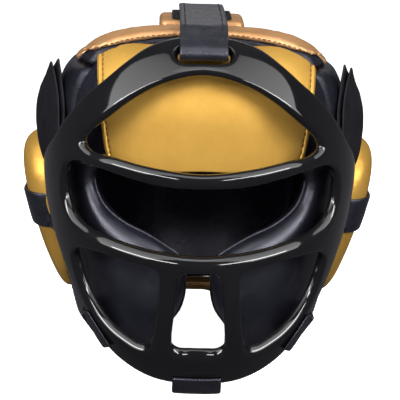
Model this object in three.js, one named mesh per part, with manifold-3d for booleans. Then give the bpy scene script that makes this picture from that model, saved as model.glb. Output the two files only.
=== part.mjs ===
// Boxing headgear with a face grille: a padded guard, a moulded face cage and the straps that join them.
// Millimetres. +Z is up, the face looks along -Y, the headgear stands on z = 0 and x = 0 is its middle plane.

import * as THREE from 'three';
import { mergeVertices } from 'three/addons/utils/BufferGeometryUtils.js';
import Module from 'manifold-3d';

const wasm = await Module();
wasm.setup();

// Driving dimensions

const clearance = 0.3;
const seamHalfGap = 0.3;
const padThickness = 18;
const strapThickness = 2.5;
const patchThickness = 2;
const tabThickness = 4.5;
const loopFieldThickness = 1.5;
const cageWall = 8;
const bodySegments = 32;
const bodyRings = 21;

// Both bodies are rounded boxes: an oval plan that narrows to the jaw, with squarer shoulders than an egg.
// The guard's top falls behind its front roll, and the tab on the crown stands up level with that roll.
// The head room is the guard less its padding, and stays wider than the guard towards the neck.
const guardShape = {
  centreY: 14.5, centreZ: 130,
  halfWidth: 104, jawHalfWidth: 96, front: 102, jawFront: 110, back: 120, crownBack: 80, napeBack: 104,
  up: 104, down: 170, planPower: 2.4, upPower: 4.4, downPower: 2.6,
  jawLevel: 30, sideLevel: 170, napeLevel: 0, backLevel: 110, crownLevel: 140,
  crownFall: 10, fallFrontY: -46, fallRearY: 40,
};
const headShape = { ...guardShape, down: 208, crownFall: 0 };
const crownRollShape = { ...guardShape, up: 111, upPower: 4.2, crownFall: 0 };
const tabShape = { ...guardShape, crownFall: 0 };
const cageShape = {
  centreY: -10.5, centreZ: 110,
  halfWidth: 110, jawHalfWidth: 92, front: 124, jawFront: 124, back: 110, crownBack: 110, napeBack: 110,
  up: 134, down: 140, planPower: 2.2, upPower: 3.4, downPower: 2.6,
  jawLevel: 10, sideLevel: 150, napeLevel: 0, backLevel: 110, crownLevel: 140,
  crownFall: 0, fallFrontY: -46, fallRearY: 40,
};

// Seams of the guard
const foreheadSeamY = -46;
const foreheadTopZ = 232;
const browLineZ = 150;
const cheekSeamY = 8;
const sideSeamY = 78;
const backTopHalfWidth = 64;
const backTopY = 40;
const backTopZ = 180;
const crownBackY = 85;
const crownHalfWidth = 91;
const crownSeamZ = 212;
const crownRollWidth = 20;
const crownLipHalfWidth = 70;
const crownLipZ = 185;
const napeSeamY = 62;
const napeTopZ = 26;
const napeHalfWidth = 62;
const faceOpeningRearY = -20;
const faceOpeningSteps = 60;
const browPatchSteps = 28;
const crownLowZ = 200;
const crownTabLow = { x: -30, y: 2, z: crownLowZ };
const crownTabHigh = { x: 30, y: 66 };
const loopFieldLow = { x: -23, y: 5, z: crownLowZ };
const loopFieldHigh = { x: 23, y: 62 };

// Straps
const topStrapWidth = 32;
const topStrapThickness = 4;
const chinStrapWidth = 33;
const chinStrapTopZ = 14;
const earStrapLowZ = 88;
const earStrapHighZ = 113;
const jawStrapWidth = 27;
const jawStrapSpot = { x: 71, z: 38 };
const jawStrapTilt = THREE.MathUtils.degToRad(-54);
const jawLoopSize = { along: jawStrapWidth, across: 23, deep: 90, middleY: -90, inward: -5.5 };
const jawTongueSize = { along: jawStrapWidth, across: strapThickness, deep: 46, middleY: -64, inward: 0 };
const topLoopLowZ = 230;
const chinFoldLow = { x: -chinStrapWidth / 2, y: -111, z: 0 };
const chinFoldHigh = { x: chinStrapWidth / 2, y: -98, z: 8 };

// The cage's edges point at one spot above the eyes, so the bars' upper faces slope down towards the front.
const drawPoint = new THREE.Vector3(0, -10, 175);
const coneSpread = 1.6;
const cageEdgeSteps = 78;

// Outlines. Half outlines run down the +X side from the middle plane and are mirrored.

const cageArchHalf = [
  { x: 0, z: 240 }, { x: 16, z: 239 }, { x: 36, z: 234 }, { x: 52, z: 224 }, { x: 66, z: 212 },
  { x: 79, z: 200 }, { x: 90, z: 186 }, { x: 100, z: 168 },
];
const lensHalf = [
  { x: 0, z: 222 }, { x: 28, z: 216 }, { x: 47, z: 205 }, { x: 64, z: 190 }, { x: 77, z: 177 },
  { x: 80, z: 170 }, { x: 75, z: 165 }, { x: 58, z: 163 }, { x: 32, z: 159 }, { x: 0, z: 156 },
];
const eyeHalf = [
  { x: 0, z: 147 }, { x: 29, z: 148 }, { x: 52, z: 152 }, { x: 68, z: 155 }, { x: 85, z: 156 },
  { x: 91, z: 150 }, { x: 93, z: 137 }, { x: 91, z: 125 }, { x: 86, z: 116 }, { x: 77, z: 110 },
  { x: 64, z: 107 }, { x: 48, z: 104 }, { x: 28, z: 101 }, { x: 0, z: 99 },
];
const lowerWindow = [
  { x: 30, z: 91 }, { x: 42, z: 94 }, { x: 56, z: 96 }, { x: 72, z: 97 }, { x: 82, z: 95 },
  { x: 85, z: 88 }, { x: 82, z: 76 }, { x: 77, z: 63 }, { x: 69, z: 50 }, { x: 60, z: 41 },
  { x: 50, z: 35 }, { x: 41, z: 31 }, { x: 35, z: 31 }, { x: 32, z: 38 }, { x: 29, z: 60 },
  { x: 27.5, z: 86 },
];
const centreHalf = [
  { x: 0, z: 90 }, { x: 11, z: 89 }, { x: 14, z: 85 }, { x: 16.5, z: 60 }, { x: 18, z: 41 },
  { x: 16, z: 32 }, { x: 0, z: 31 },
];
const slotHalf = [
  { x: 0, z: 234 }, { x: 14, z: 234 }, { x: 17.5, z: 232 }, { x: 17.5, z: 228 }, { x: 14, z: 226 },
  { x: 0, z: 226 },
];
const cageRearEdge = [
  { y: -36, z: 148 }, { y: -38, z: 124 }, { y: -52, z: 102 }, { y: -63, z: 84 }, { y: -72, z: 66 },
  { y: -83, z: 46 },
];
const cageChinHalf = [{ x: 62, z: 28 }, { x: 46, z: 16 }, { x: 28, z: 9 }, { x: 0, z: 7 }];
const faceOpeningHalf = [
  { x: 0, z: browLineZ }, { x: 42, z: browLineZ }, { x: 66, z: 148 }, { x: 70, z: 138 }, { x: 66, z: 124 },
  { x: 59, z: 116 }, { x: 48, z: 109 }, { x: 36, z: 104 }, { x: 22, z: 96 }, { x: 11, z: 88 },
  { x: 7, z: 78 }, { x: 7, z: 64 }, { x: 11, z: 52 }, { x: 18, z: 42 }, { x: 26, z: 26 },
  { x: 34, z: 8 }, { x: 36, z: -10 }, { x: 0, z: -10 },
];
const guardLowerEdge = [
  { y: -140, z: 24 }, { y: -98, z: 22 }, { y: -84, z: 10 }, { y: -60, z: 5 }, { y: 0, z: 5 },
  { y: 30, z: 14 }, { y: 50, z: 22 }, { y: 160, z: 22 },
];
const napeArchOutline = [
  { x: -26, z: -10 }, { x: 26, z: -10 }, { x: 23, z: 4 }, { x: 14, z: 15.5 }, { x: 0, z: 17 },
  { x: -14, z: 15.5 }, { x: -23, z: 4 },
];
const napeArchSteps = 16;
const browPatchHalf = [
  { x: 0, z: 230 }, { x: 40, z: 229 }, { x: 70, z: 226 }, { x: 74, z: 221 }, { x: 72, z: 190 },
  { x: 66, z: 160 }, { x: 60, z: 154 }, { x: 0, z: 153 },
];
const earOutline = [
  { y: 37, z: 154 }, { y: 58, z: 148 }, { y: 72, z: 130 }, { y: 75, z: 108 }, { y: 70, z: 82 },
  { y: 60, z: 58 }, { y: 46, z: 41 }, { y: 32, z: 37 }, { y: 20, z: 43 }, { y: 8, z: 62 },
  { y: 1, z: 86 }, { y: -1, z: 112 }, { y: 4, z: 133 }, { y: 17, z: 148 },
];
const earCentre = { y: 37, z: 126 };
const earBulge = { thickAtTop: 24, thickAtFoot: 15, topZ: 143, footZ: 45, lip: 4, sink: 3 };
const earSteps = 30;
const earRings = [1, 0.86, 0.66, 0.36];
const earStrapPath = [{ x: 89, y: -56 }, { x: 94.5, y: -36 }, { x: 102, y: -8 }, { x: 107, y: 4 }];

// Temple strap: one row for each stage from the fold round the cage to the tip on the guard's shoulder.
const templeStrapRows = [
  { frontX: 96, frontY: -58, frontZ: 164, rearX: 106, rearY: -36, rearZ: 141 },
  { frontX: 96.5, frontY: -53, frontZ: 169, rearX: 110.5, rearY: -28, rearZ: 151 },
  { frontX: 97, frontY: -46, frontZ: 177, rearX: 114, rearY: -14, rearZ: 163 },
  { frontX: 98, frontY: -37, frontZ: 189, rearX: 115, rearY: -3, rearZ: 177 },
  { frontX: 100.5, frontY: -27, frontZ: 201, rearX: 112.5, rearY: 7, rearZ: 189 },
  { frontX: 104.5, frontY: -16, frontZ: 211, rearX: 109, rearY: 12, rearZ: 197 },
];
const templeStrapThickness = 4;

// Top strap, from the tab on the crown to the front of the cage's top bar.
const topStrapPath = [
  { y: 60, z: 242 }, { y: 36, z: 243.6 }, { y: 5, z: 245 }, { y: -30, z: 245.4 }, { y: -56, z: 245 },
  { y: -76, z: 242 },
];

// Mesh and solid helpers

const axisX = new THREE.Vector3(1, 0, 0);
const axisY = new THREE.Vector3(0, 1, 0);
const axisZ = new THREE.Vector3(0, 0, 1);
const sideFrame = new THREE.Matrix4().makeBasis(axisY, axisZ, axisX);
const frontFrame = new THREE.Matrix4().makeBasis(axisX, axisZ, axisY.clone().negate());
const farAway = 400;

function solidOf(geometry) {
  const bare = geometry.clone();
  bare.deleteAttribute('normal');
  bare.deleteAttribute('uv');
  const merged = mergeVertices(bare, 1e-4);
  const vertProperties = new Float32Array(merged.attributes.position.array);
  const triVerts = new Uint32Array(merged.index.array);
  return new wasm.Manifold(new wasm.Mesh({ numProp: 3, vertProperties, triVerts }));
}

function geometryOf(solid) {
  const mesh = solid.getMesh();
  const geometry = new THREE.BufferGeometry();
  geometry.setAttribute('position', new THREE.BufferAttribute(new Float32Array(mesh.vertProperties), 3));
  geometry.setIndex(new THREE.BufferAttribute(new Uint32Array(mesh.triVerts), 1));
  return geometry;
}

function mirrored(geometry) {
  const copy = geometry.clone().scale(-1, 1, 1);
  const index = copy.index.array;
  for (let corner = 0; corner < index.length; corner += 3) {
    [index[corner + 1], index[corner + 2]] = [index[corner + 2], index[corner + 1]];
  }
  return copy;
}

// A pair's left piece mirrors the right one, so what both have to clear is made the same on both sides.
function onBothSides(solid) {
  return solid.add(solidOf(mirrored(geometryOf(solid))));
}

function meshFrom(points, triangles) {
  const geometry = new THREE.BufferGeometry().setFromPoints(points);
  geometry.setIndex(triangles);
  return solidOf(geometry);
}

// Rounded box bodies

function levelAt(shape, point, grow) {
  const upness = THREE.MathUtils.smoothstep(point.z, shape.jawLevel, shape.sideLevel);
  const halfWidth = THREE.MathUtils.lerp(shape.jawHalfWidth, shape.halfWidth, upness) + grow;
  const front = THREE.MathUtils.lerp(shape.jawFront, shape.front, upness) + grow;
  const forward = point.y - shape.centreY;
  const x = Math.abs(point.x) / halfWidth;
  const backness = THREE.MathUtils.smoothstep(point.z, shape.napeLevel, shape.backLevel);
  const back = THREE.MathUtils.lerp(shape.napeBack, shape.back, backness);
  const crownness = THREE.MathUtils.smoothstep(point.z, shape.crownLevel, shape.centreZ + shape.up);
  const behind = THREE.MathUtils.lerp(back, shape.crownBack, crownness) + grow;
  const y = forward < 0 ? -forward / front : forward / behind;
  const plan = Math.pow(x ** shape.planPower + y ** shape.planPower, 1 / shape.planPower);
  const rise = point.z - shape.centreZ;
  const fall = shape.crownFall * THREE.MathUtils.smoothstep(point.y, shape.fallFrontY, shape.fallRearY);
  const z = rise > 0 ? rise / (shape.up - fall + grow) : -rise / (shape.down + grow);
  const power = rise > 0 ? shape.upPower : shape.downPower;
  return plan ** power + z ** power;
}

function surfacePoint(shape, origin, direction, grow) {
  let near = 0;
  let far = farAway;
  const point = new THREE.Vector3();
  for (let step = 0; step < 40; step += 1) {
    const middle = (near + far) / 2;
    point.copy(direction).multiplyScalar(middle).add(origin);
    if (levelAt(shape, point, grow) < 1) {
      near = middle;
    } else {
      far = middle;
    }
  }
  return point;
}

function bodyOf(shape, grow) {
  const geometry = new THREE.SphereGeometry(1, bodySegments, bodyRings);
  const position = geometry.attributes.position;
  const centre = new THREE.Vector3(0, shape.centreY, shape.centreZ);
  const direction = new THREE.Vector3();
  for (let vertex = 0; vertex < position.count; vertex += 1) {
    direction.fromBufferAttribute(position, vertex).normalize();
    const point = surfacePoint(shape, centre, direction, grow);
    position.setXYZ(vertex, point.x, point.y, point.z);
  }
  return solidOf(geometry);
}

function skinOf(shape, from, to) {
  return bodyOf(shape, to).subtract(bodyOf(shape, from));
}

// Outlines and prisms

function wholeLoop(half) {
  const inner = half.filter((corner) => corner.x > 0);
  const other = inner.map((corner) => ({ x: -corner.x, z: corner.z })).reverse();
  return [half[0], ...inner, half[half.length - 1], ...other];
}

function smoothLoop(corners, steps) {
  const points = corners.map((corner) => new THREE.Vector3(corner.x ?? corner.y, corner.z, 0));
  const curve = new THREE.CatmullRomCurve3(points, true, 'centripetal');
  return curve.getSpacedPoints(steps).slice(0, steps).map((point) => new THREE.Vector2(point.x, point.y));
}

function grownLoop(loop, grow) {
  const outward = THREE.ShapeUtils.isClockWise(loop) ? -1 : 1;
  return loop.map((point, index) => {
    const before = loop[(index + loop.length - 1) % loop.length];
    const after = loop[(index + 1) % loop.length];
    const along = new THREE.Vector2().subVectors(after, before).normalize();
    return new THREE.Vector2(point.x + along.y * grow * outward, point.y - along.x * grow * outward);
  });
}

function prism(loop, frame, from, to) {
  const settings = { depth: to - from, bevelEnabled: false };
  const geometry = new THREE.ExtrudeGeometry(new THREE.Shape(loop), settings);
  return solidOf(geometry.translate(0, 0, from).applyMatrix4(frame));
}

function frontPrism(loop, frontY, backY) {
  return prism(loop, frontFrame, -backY, -frontY);
}

function sidePrism(loop, fromX, toX) {
  return prism(loop, sideFrame, fromX, toX);
}

function block(low, high) {
  const size = new THREE.Vector3().subVectors(high, low);
  const middle = new THREE.Vector3().addVectors(low, high).multiplyScalar(0.5);
  return solidOf(new THREE.BoxGeometry(size.x, size.y, size.z).translate(middle.x, middle.y, middle.z));
}

function slab(low, high) {
  const bound = (value, side) => (value === undefined ? side * farAway : value);
  return block(
    new THREE.Vector3(bound(low.x, -1), bound(low.y, -1), bound(low.z, -1)),
    new THREE.Vector3(bound(high.x, 1), bound(high.y, 1), bound(high.z, 1)),
  );
}

// A ribbon through rows of two edge points, with its thickness on both sides of the rows.
function ribbon(rows, thickness) {
  const middle = rows.map((row) => new THREE.Vector3().addVectors(row.front, row.rear).multiplyScalar(0.5));
  const points = [];
  rows.forEach((row, index) => {
    const before = middle[Math.max(index - 1, 0)];
    const after = middle[Math.min(index + 1, rows.length - 1)];
    const along = new THREE.Vector3().subVectors(after, before).normalize();
    const across = new THREE.Vector3().subVectors(row.rear, row.front).normalize();
    const outward = new THREE.Vector3().crossVectors(along, across).normalize().multiplyScalar(thickness / 2);
    points.push(row.front.clone().add(outward), row.rear.clone().add(outward));
    points.push(row.rear.clone().sub(outward), row.front.clone().sub(outward));
  });
  const triangles = [0, 1, 2, 0, 2, 3];
  for (let row = 0; row < rows.length - 1; row += 1) {
    for (let side = 0; side < 4; side += 1) {
      const here = row * 4 + side;
      const beside = row * 4 + ((side + 1) % 4);
      triangles.push(here, here + 4, beside + 4, here, beside + 4, beside);
    }
  }
  const last = (rows.length - 1) * 4;
  triangles.push(last, last + 2, last + 1, last, last + 3, last + 2);
  return meshFrom(points, triangles);
}

// Face cage

function onCage(corner) {
  const forward = new THREE.Vector3(0, -1, 0);
  const along = corner.y === undefined ? forward : new THREE.Vector3(corner.side, 0, 0);
  const start = new THREE.Vector3(corner.x ?? 0, corner.y ?? cageShape.centreY, corner.z);
  return surfacePoint(cageShape, start, along, 0);
}

function cageNormal(point) {
  const step = 0.05;
  const slope = (axis) => levelAt(cageShape, point.clone().addScaledVector(axis, step), 0)
    - levelAt(cageShape, point.clone().addScaledVector(axis, -step), 0);
  return new THREE.Vector3(slope(axisX), slope(axisY), slope(axisZ)).normalize();
}

// A closed curve on the cage's face, moved sideways within the face by the growth.
function faceLoop(corners, steps, grow) {
  const curve = new THREE.CatmullRomCurve3(corners.map(onCage), true, 'centripetal');
  const points = curve.getSpacedPoints(steps).slice(0, steps);
  return points.map((point, index) => {
    const before = points[(index + steps - 1) % steps];
    const after = points[(index + 1) % steps];
    const along = new THREE.Vector3().subVectors(after, before).normalize();
    return point.clone().addScaledVector(cageNormal(point).cross(along), grow);
  });
}

// Everything that the curve encloses as seen from the draw point inside the cage.
function coneThrough(loop) {
  const count = loop.length;
  const spread = loop.map((point) => point.clone().sub(drawPoint).multiplyScalar(coneSpread).add(drawPoint));
  const middle = new THREE.Vector3();
  spread.forEach((point) => middle.add(point));
  middle.multiplyScalar(1 / count).sub(drawPoint).normalize().multiplyScalar(farAway).add(drawPoint);
  const triangles = [];
  for (let corner = 0; corner < count; corner += 1) {
    const next = (corner + 1) % count;
    triangles.push(corner, next, count, next, corner, count + 1);
  }
  return meshFrom([...spread, drawPoint.clone(), middle], triangles);
}

const mirrorCorners = (corners) => corners.map((corner) => ({ x: -corner.x, z: corner.z })).reverse();

const cageWindows = [
  { corners: wholeLoop(lensHalf), steps: 40 },
  { corners: wholeLoop(eyeHalf), steps: 44 },
  { corners: lowerWindow, steps: 28 },
  { corners: mirrorCorners(lowerWindow), steps: 28 },
  { corners: wholeLoop(centreHalf), steps: 20 },
  { corners: wholeLoop(slotHalf), steps: 12 },
];

function cageEdge() {
  const rail = cageRearEdge.map((corner) => ({ ...corner, side: 1 }));
  const half = [...cageArchHalf, ...rail, ...cageChinHalf];
  const other = half.filter((corner) => corner.x !== 0).reverse();
  const mirror = other.map(({ x, y, z }) => (x === undefined ? { y, z, side: -1 } : { x: -x, z }));
  return [...half, ...mirror];
}

function cageSolid(grow) {
  let solid = skinOf(cageShape, -cageWall - grow, grow);
  solid = solid.intersect(coneThrough(faceLoop(cageEdge(), cageEdgeSteps, grow)));
  for (const { corners, steps } of cageWindows) {
    solid = solid.subtract(coneThrough(faceLoop(corners, steps, -grow)));
  }
  return solid;
}

const cage = cageSolid(0);
const cageRoom = onBothSides(cageSolid(clearance));
const cageWrap = cageSolid(clearance + strapThickness);

// Padded guard

const guardRoom = onBothSides(bodyOf(guardShape, clearance));
const headRoom = bodyOf(headShape, -padThickness);
const faceOpeningLoop = smoothLoop(wholeLoop(faceOpeningHalf), faceOpeningSteps);
const faceOpening = frontPrism(faceOpeningLoop, -farAway, faceOpeningRearY);
const lowerEdge = guardLowerEdge.map((corner) => new THREE.Vector2(corner.y, corner.z));
const aboveLowerEdge = sidePrism(
  [...lowerEdge, new THREE.Vector2(160, farAway), new THREE.Vector2(-140, farAway)], -farAway, farAway,
);
const guardShell = bodyOf(guardShape, 0).subtract(headRoom).subtract(faceOpening).intersect(aboveLowerEdge);

const foreheadPad = guardShell
  .intersect(slab({ z: browLineZ + seamHalfGap }, { y: foreheadSeamY - seamHalfGap, z: foreheadTopZ }));

// The crown panel has a lip that reaches down inside the forehead pad.
const crownLip = (grow) => slab(
  { x: -crownLipHalfWidth - grow, y: foreheadSeamY - grow, z: crownLipZ - grow },
  { x: crownLipHalfWidth + grow, y: foreheadSeamY + crownRollWidth + grow },
);
const crownBlock = (grow) => slab(
  { x: -crownHalfWidth - grow, y: foreheadSeamY - grow, z: crownSeamZ - grow },
  { x: crownHalfWidth + grow, y: crownBackY + grow },
).add(crownLip(grow));
const rollBlock = slab({}, { y: foreheadSeamY + crownRollWidth });
const crownPanel = bodyOf(guardShape, 0).add(bodyOf(crownRollShape, 0).intersect(rollBlock))
  .subtract(headRoom).intersect(crownBlock(-seamHalfGap));
const rollRoom = bodyOf(crownRollShape, clearance)
  .intersect(slab({}, { y: foreheadSeamY + crownRollWidth + clearance }));

const cheekPad = guardShell
  .intersect(slab({ x: 0 }, { y: cheekSeamY - seamHalfGap, z: browLineZ - seamHalfGap }));

const napeBlock = (grow) => slab(
  { x: -napeHalfWidth - grow, y: napeSeamY - grow }, { x: napeHalfWidth + grow, z: napeTopZ + grow },
);
const napeArch = frontPrism(smoothLoop(napeArchOutline, napeArchSteps), 0, farAway);
const napePad = bodyOf(guardShape, 0).subtract(headRoom)
  .intersect(napeBlock(-seamHalfGap)).intersect(slab({ z: 0 }, {})).subtract(napeArch);

const sidesAndBack = guardShell
  .subtract(slab({ z: browLineZ - seamHalfGap }, { y: foreheadSeamY + seamHalfGap }))
  .subtract(slab({}, { y: cheekSeamY + seamHalfGap, z: browLineZ + seamHalfGap }))
  .subtract(crownBlock(seamHalfGap))
  .subtract(napeBlock(seamHalfGap));
const backBlock = (grow) => slab({ y: sideSeamY - grow }, {}).add(slab(
  { x: -backTopHalfWidth - grow, y: backTopY - grow, z: backTopZ - grow }, { x: backTopHalfWidth + grow },
));
const sidePanel = sidesAndBack.intersect(slab({ x: 0 }, {})).subtract(backBlock(seamHalfGap));
const backPanel = sidesAndBack.intersect(backBlock(-seamHalfGap));

const browPatchLoop = smoothLoop(wholeLoop(browPatchHalf), browPatchSteps);
const browPatch = skinOf(guardShape, clearance, clearance + patchThickness)
  .intersect(frontPrism(browPatchLoop, -farAway, foreheadSeamY - patchThickness));

const tabBase = clearance;
const tabTop = tabBase + tabThickness;
const loopBase = tabTop + clearance;
const loopTop = loopBase + loopFieldThickness;
const crownTab = bodyOf(tabShape, tabTop).subtract(bodyOf(guardShape, tabBase))
  .intersect(slab(crownTabLow, crownTabHigh));
const crownLoopField = skinOf(tabShape, loopBase, loopTop).intersect(slab(loopFieldLow, loopFieldHigh));

// Ear pads

function sideX(y, z, grow) {
  return surfacePoint(guardShape, new THREE.Vector3(0, y, z), axisX, grow).x;
}

function earPillow(grow) {
  const loop = grownLoop(smoothLoop(earOutline, earSteps), grow);
  const centre = new THREE.Vector2(earCentre.y, earCentre.z);
  const points = [];
  const triangles = [];
  const count = loop.length;
  const base = (spot) => sideX(spot.x, spot.y, -earBulge.sink - grow);
  const dome = (spot, fraction) => {
    const upness = THREE.MathUtils.smoothstep(spot.y, earBulge.footZ, earBulge.topZ);
    const bulge = THREE.MathUtils.lerp(earBulge.thickAtFoot, earBulge.thickAtTop, upness) - earBulge.lip;
    const swell = Math.sqrt(1 - fraction ** 4);
    return sideX(spot.x, spot.y, clearance) + earBulge.lip + bulge * swell + grow;
  };
  const addRing = (fraction, xOf) => {
    for (const corner of loop) {
      const spot = new THREE.Vector2().lerpVectors(centre, corner, fraction);
      points.push(new THREE.Vector3(xOf(spot, fraction), spot.x, spot.y));
    }
  };
  addRing(earRings[2], base);
  addRing(1, base);
  for (const fraction of earRings) {
    addRing(fraction, dome);
  }
  for (let ring = 0; ring < earRings.length + 1; ring += 1) {
    for (let corner = 0; corner < count; corner += 1) {
      const here = ring * count + corner;
      const beside = ring * count + ((corner + 1) % count);
      triangles.push(here, beside, beside + count, here, beside + count, here + count);
    }
  }
  const foot = points.push(new THREE.Vector3(base(centre), centre.x, centre.y)) - 1;
  const peak = points.push(new THREE.Vector3(dome(centre, 0), centre.x, centre.y)) - 1;
  const top = (earRings.length + 1) * count;
  for (let corner = 0; corner < count; corner += 1) {
    const beside = (corner + 1) % count;
    triangles.push(foot, beside, corner, peak, top + corner, top + beside);
  }
  const turned = triangles.map((value, index) => triangles[index - (index % 3) + [0, 2, 1][index % 3]]);
  return meshFrom(points, THREE.ShapeUtils.isClockWise(loop) ? turned : triangles);
}

const earPad = earPillow(0).subtract(guardRoom);
const earRoom = earPillow(clearance);

// Straps

function wrapRound(keep) {
  return cageWrap.intersect(keep).subtract(cageRoom);
}

function ribbonAcross(path, halfWidth, thickness) {
  const rows = path.map(({ y, z }) => ({
    front: new THREE.Vector3(-halfWidth, y, z),
    rear: new THREE.Vector3(halfWidth, y, z),
  }));
  return ribbon(rows, thickness);
}

const topLoop = wrapRound(slab({ x: -topStrapWidth / 2, z: topLoopLowZ }, { x: topStrapWidth / 2 }));
const topStrap = ribbonAcross(topStrapPath, topStrapWidth / 2, topStrapThickness)
  .add(topLoop)
  .subtract(cageRoom).subtract(rollRoom)
  .subtract(bodyOf(tabShape, loopTop + clearance).intersect(slab({ y: 0, z: crownLowZ }, { y: 70 })));

const chinStrap = cageWrap
  .intersect(slab({ x: -chinStrapWidth / 2 }, { x: chinStrapWidth / 2, z: chinStrapTopZ }))
  .add(slab(chinFoldLow, chinFoldHigh))
  .subtract(cageRoom);

function templeStrapSolid() {
  const rows = templeStrapRows.map((row) => ({
    front: new THREE.Vector3(row.frontX, row.frontY, row.frontZ),
    rear: new THREE.Vector3(row.rearX, row.rearY, row.rearZ),
  }));
  return ribbon(rows, templeStrapThickness).subtract(cageRoom).subtract(guardRoom).subtract(earRoom);
}

// The jaw strap's boxes are turned in the front view to lie across the cage's rim.
function jawBlock(size) {
  const flat = new THREE.BoxGeometry(size.along, size.deep, size.across).translate(0, 0, size.inward);
  return solidOf(flat.rotateY(jawStrapTilt).translate(jawStrapSpot.x, size.middleY, jawStrapSpot.z));
}

// The strap folds over the rim and stops short of the window beside it.
function jawStrapSolid() {
  const loop = wrapRound(jawBlock(jawLoopSize));
  return loop.add(jawBlock(jawTongueSize)).subtract(cageRoom).subtract(guardRoom);
}

const earStrapBand = slab({ x: 0, z: earStrapLowZ }, { z: earStrapHighZ });
function earStrapSolid() {
  const rows = earStrapPath.map(({ x, y }) => ({
    front: new THREE.Vector3(x, y, earStrapHighZ),
    rear: new THREE.Vector3(x, y, earStrapLowZ),
  }));
  const overPad = earPillow(clearance + strapThickness).intersect(earStrapBand);
  return overPad.add(ribbon(rows, strapThickness)).subtract(earRoom).subtract(guardRoom).subtract(cageRoom);
}

// Scene graph

const headgear = new THREE.Group();
const leather = { color: 0x14141a, roughness: 0.45, metalness: 0 };
const gold = { color: 0xc99a45, roughness: 0.38, metalness: 0.2 };
const gloss = { color: 0x08080a, roughness: 0.12, metalness: 0 };
const fuzz = { color: 0x101012, roughness: 0.95, metalness: 0 };

function addPiece(name, geometry, finish) {
  const mesh = new THREE.Mesh(geometry, new THREE.MeshStandardMaterial(finish));
  mesh.name = name;
  headgear.add(mesh);
}

function addPair(name, solid, finish) {
  const geometry = geometryOf(solid);
  addPiece(`${name}_right`, geometry, finish);
  addPiece(`${name}_left`, mirrored(geometry), finish);
}

addPiece('face_cage', geometryOf(cage), gloss);
addPiece('forehead_pad', geometryOf(foreheadPad), leather);
addPiece('brow_patch', geometryOf(browPatch), gold);
addPiece('crown_panel', geometryOf(crownPanel), gold);
addPiece('crown_tab', geometryOf(crownTab), gold);
addPiece('crown_loop_field', geometryOf(crownLoopField), fuzz);
addPair('cheek_pad', cheekPad, leather);
addPair('ear_pad', earPad, gold);
addPair('side_panel', sidePanel, leather);
addPiece('back_panel', geometryOf(backPanel), leather);
addPiece('nape_pad', geometryOf(napePad), gold);
addPiece('top_strap', geometryOf(topStrap), leather);
addPiece('chin_strap', geometryOf(chinStrap), leather);
addPair('temple_strap', templeStrapSolid(), leather);
addPair('ear_strap', earStrapSolid(), leather);
addPair('jaw_strap', jawStrapSolid(), leather);

export default headgear;
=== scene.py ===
"""Looks of a boxing headgear with a face grille: a padded guard, a glossy moulded cage and its straps.

Sizes are millimetres in the part's own frame: +Z is up, the face looks along -Y and x = 0 is the middle
plane.
"""

import logging
import math
from dataclasses import dataclass, replace
from enum import Enum
from typing import Callable, Optional, Sequence

import bpy
import numpy as np
from mathutils import Matrix, Vector


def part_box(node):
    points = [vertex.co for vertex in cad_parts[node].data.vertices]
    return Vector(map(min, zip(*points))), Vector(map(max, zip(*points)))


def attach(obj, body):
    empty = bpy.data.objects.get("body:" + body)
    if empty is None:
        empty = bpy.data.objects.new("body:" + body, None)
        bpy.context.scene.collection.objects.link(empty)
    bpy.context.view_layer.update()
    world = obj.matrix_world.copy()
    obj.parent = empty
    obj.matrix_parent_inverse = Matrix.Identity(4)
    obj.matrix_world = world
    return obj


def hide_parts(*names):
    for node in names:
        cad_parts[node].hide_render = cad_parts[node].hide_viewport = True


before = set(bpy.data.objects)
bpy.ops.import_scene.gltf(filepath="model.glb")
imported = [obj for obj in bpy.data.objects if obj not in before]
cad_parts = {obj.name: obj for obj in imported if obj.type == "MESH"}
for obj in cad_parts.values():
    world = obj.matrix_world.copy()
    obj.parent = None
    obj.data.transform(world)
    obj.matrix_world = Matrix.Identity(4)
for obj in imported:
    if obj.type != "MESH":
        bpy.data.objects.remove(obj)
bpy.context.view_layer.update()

Array = np.ndarray
Field = Callable[[Array], Array]
Colour = tuple[float, float, float]

METRES = 0.001
FAR = 400.0
CURVE_STEPS = 24
HALVINGS = 34
SETTLING = 6
LEAST_SLOPE = 0.05
BODY = "root"
log = logging.getLogger("headgear")


class Side(Enum):
    """The photograph's left and right, as the sign of x."""

    LEFT = -1
    RIGHT = 1

    @property
    def word(self) -> str:
        """The side's name in piece names."""
        return self.name.lower()

    def mirrored(self, points: Array) -> Array:
        """Points of the right side, moved to this side."""
        return points * np.array([self.value, 1.0, 1.0])


class Slot(Enum):
    """The record's material slots."""

    PLASTIC = "cage_plastic"
    LEATHER = "black_leather"
    GOLD = "gold_leather"
    STRAP = "black_strap"
    PILE = "loop_fabric"


# Curves, fields and meshes


def smooth_step(value: Array, low: float, high: float) -> Array:
    """Eases from 0 at low to 1 at high."""
    share = np.clip((value - low) / (high - low), 0.0, 1.0)
    return share * share * (3.0 - 2.0 * share)


def mix(start: Array, end: Array, share: Array) -> Array:
    """Goes straight from start at share 0 to end at share 1."""
    return start + (end - start) * share


def unit(vectors: Array) -> Array:
    """Vectors of length one along the last axis."""
    return vectors / np.maximum(np.linalg.norm(vectors, axis=-1, keepdims=True), 1e-9)


def walked_along(path: Array) -> Array:
    """How far along a path each of its points lies."""
    return np.concatenate([[0], np.cumsum(np.linalg.norm(np.diff(path, axis=0), axis=1))])


def read_along(spots: Array, walked: Array, rows: Array) -> Array:
    """Rows given at walked distances, read at spots between them."""
    return np.stack([np.interp(spots, walked, column) for column in rows.T], 1)


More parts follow.
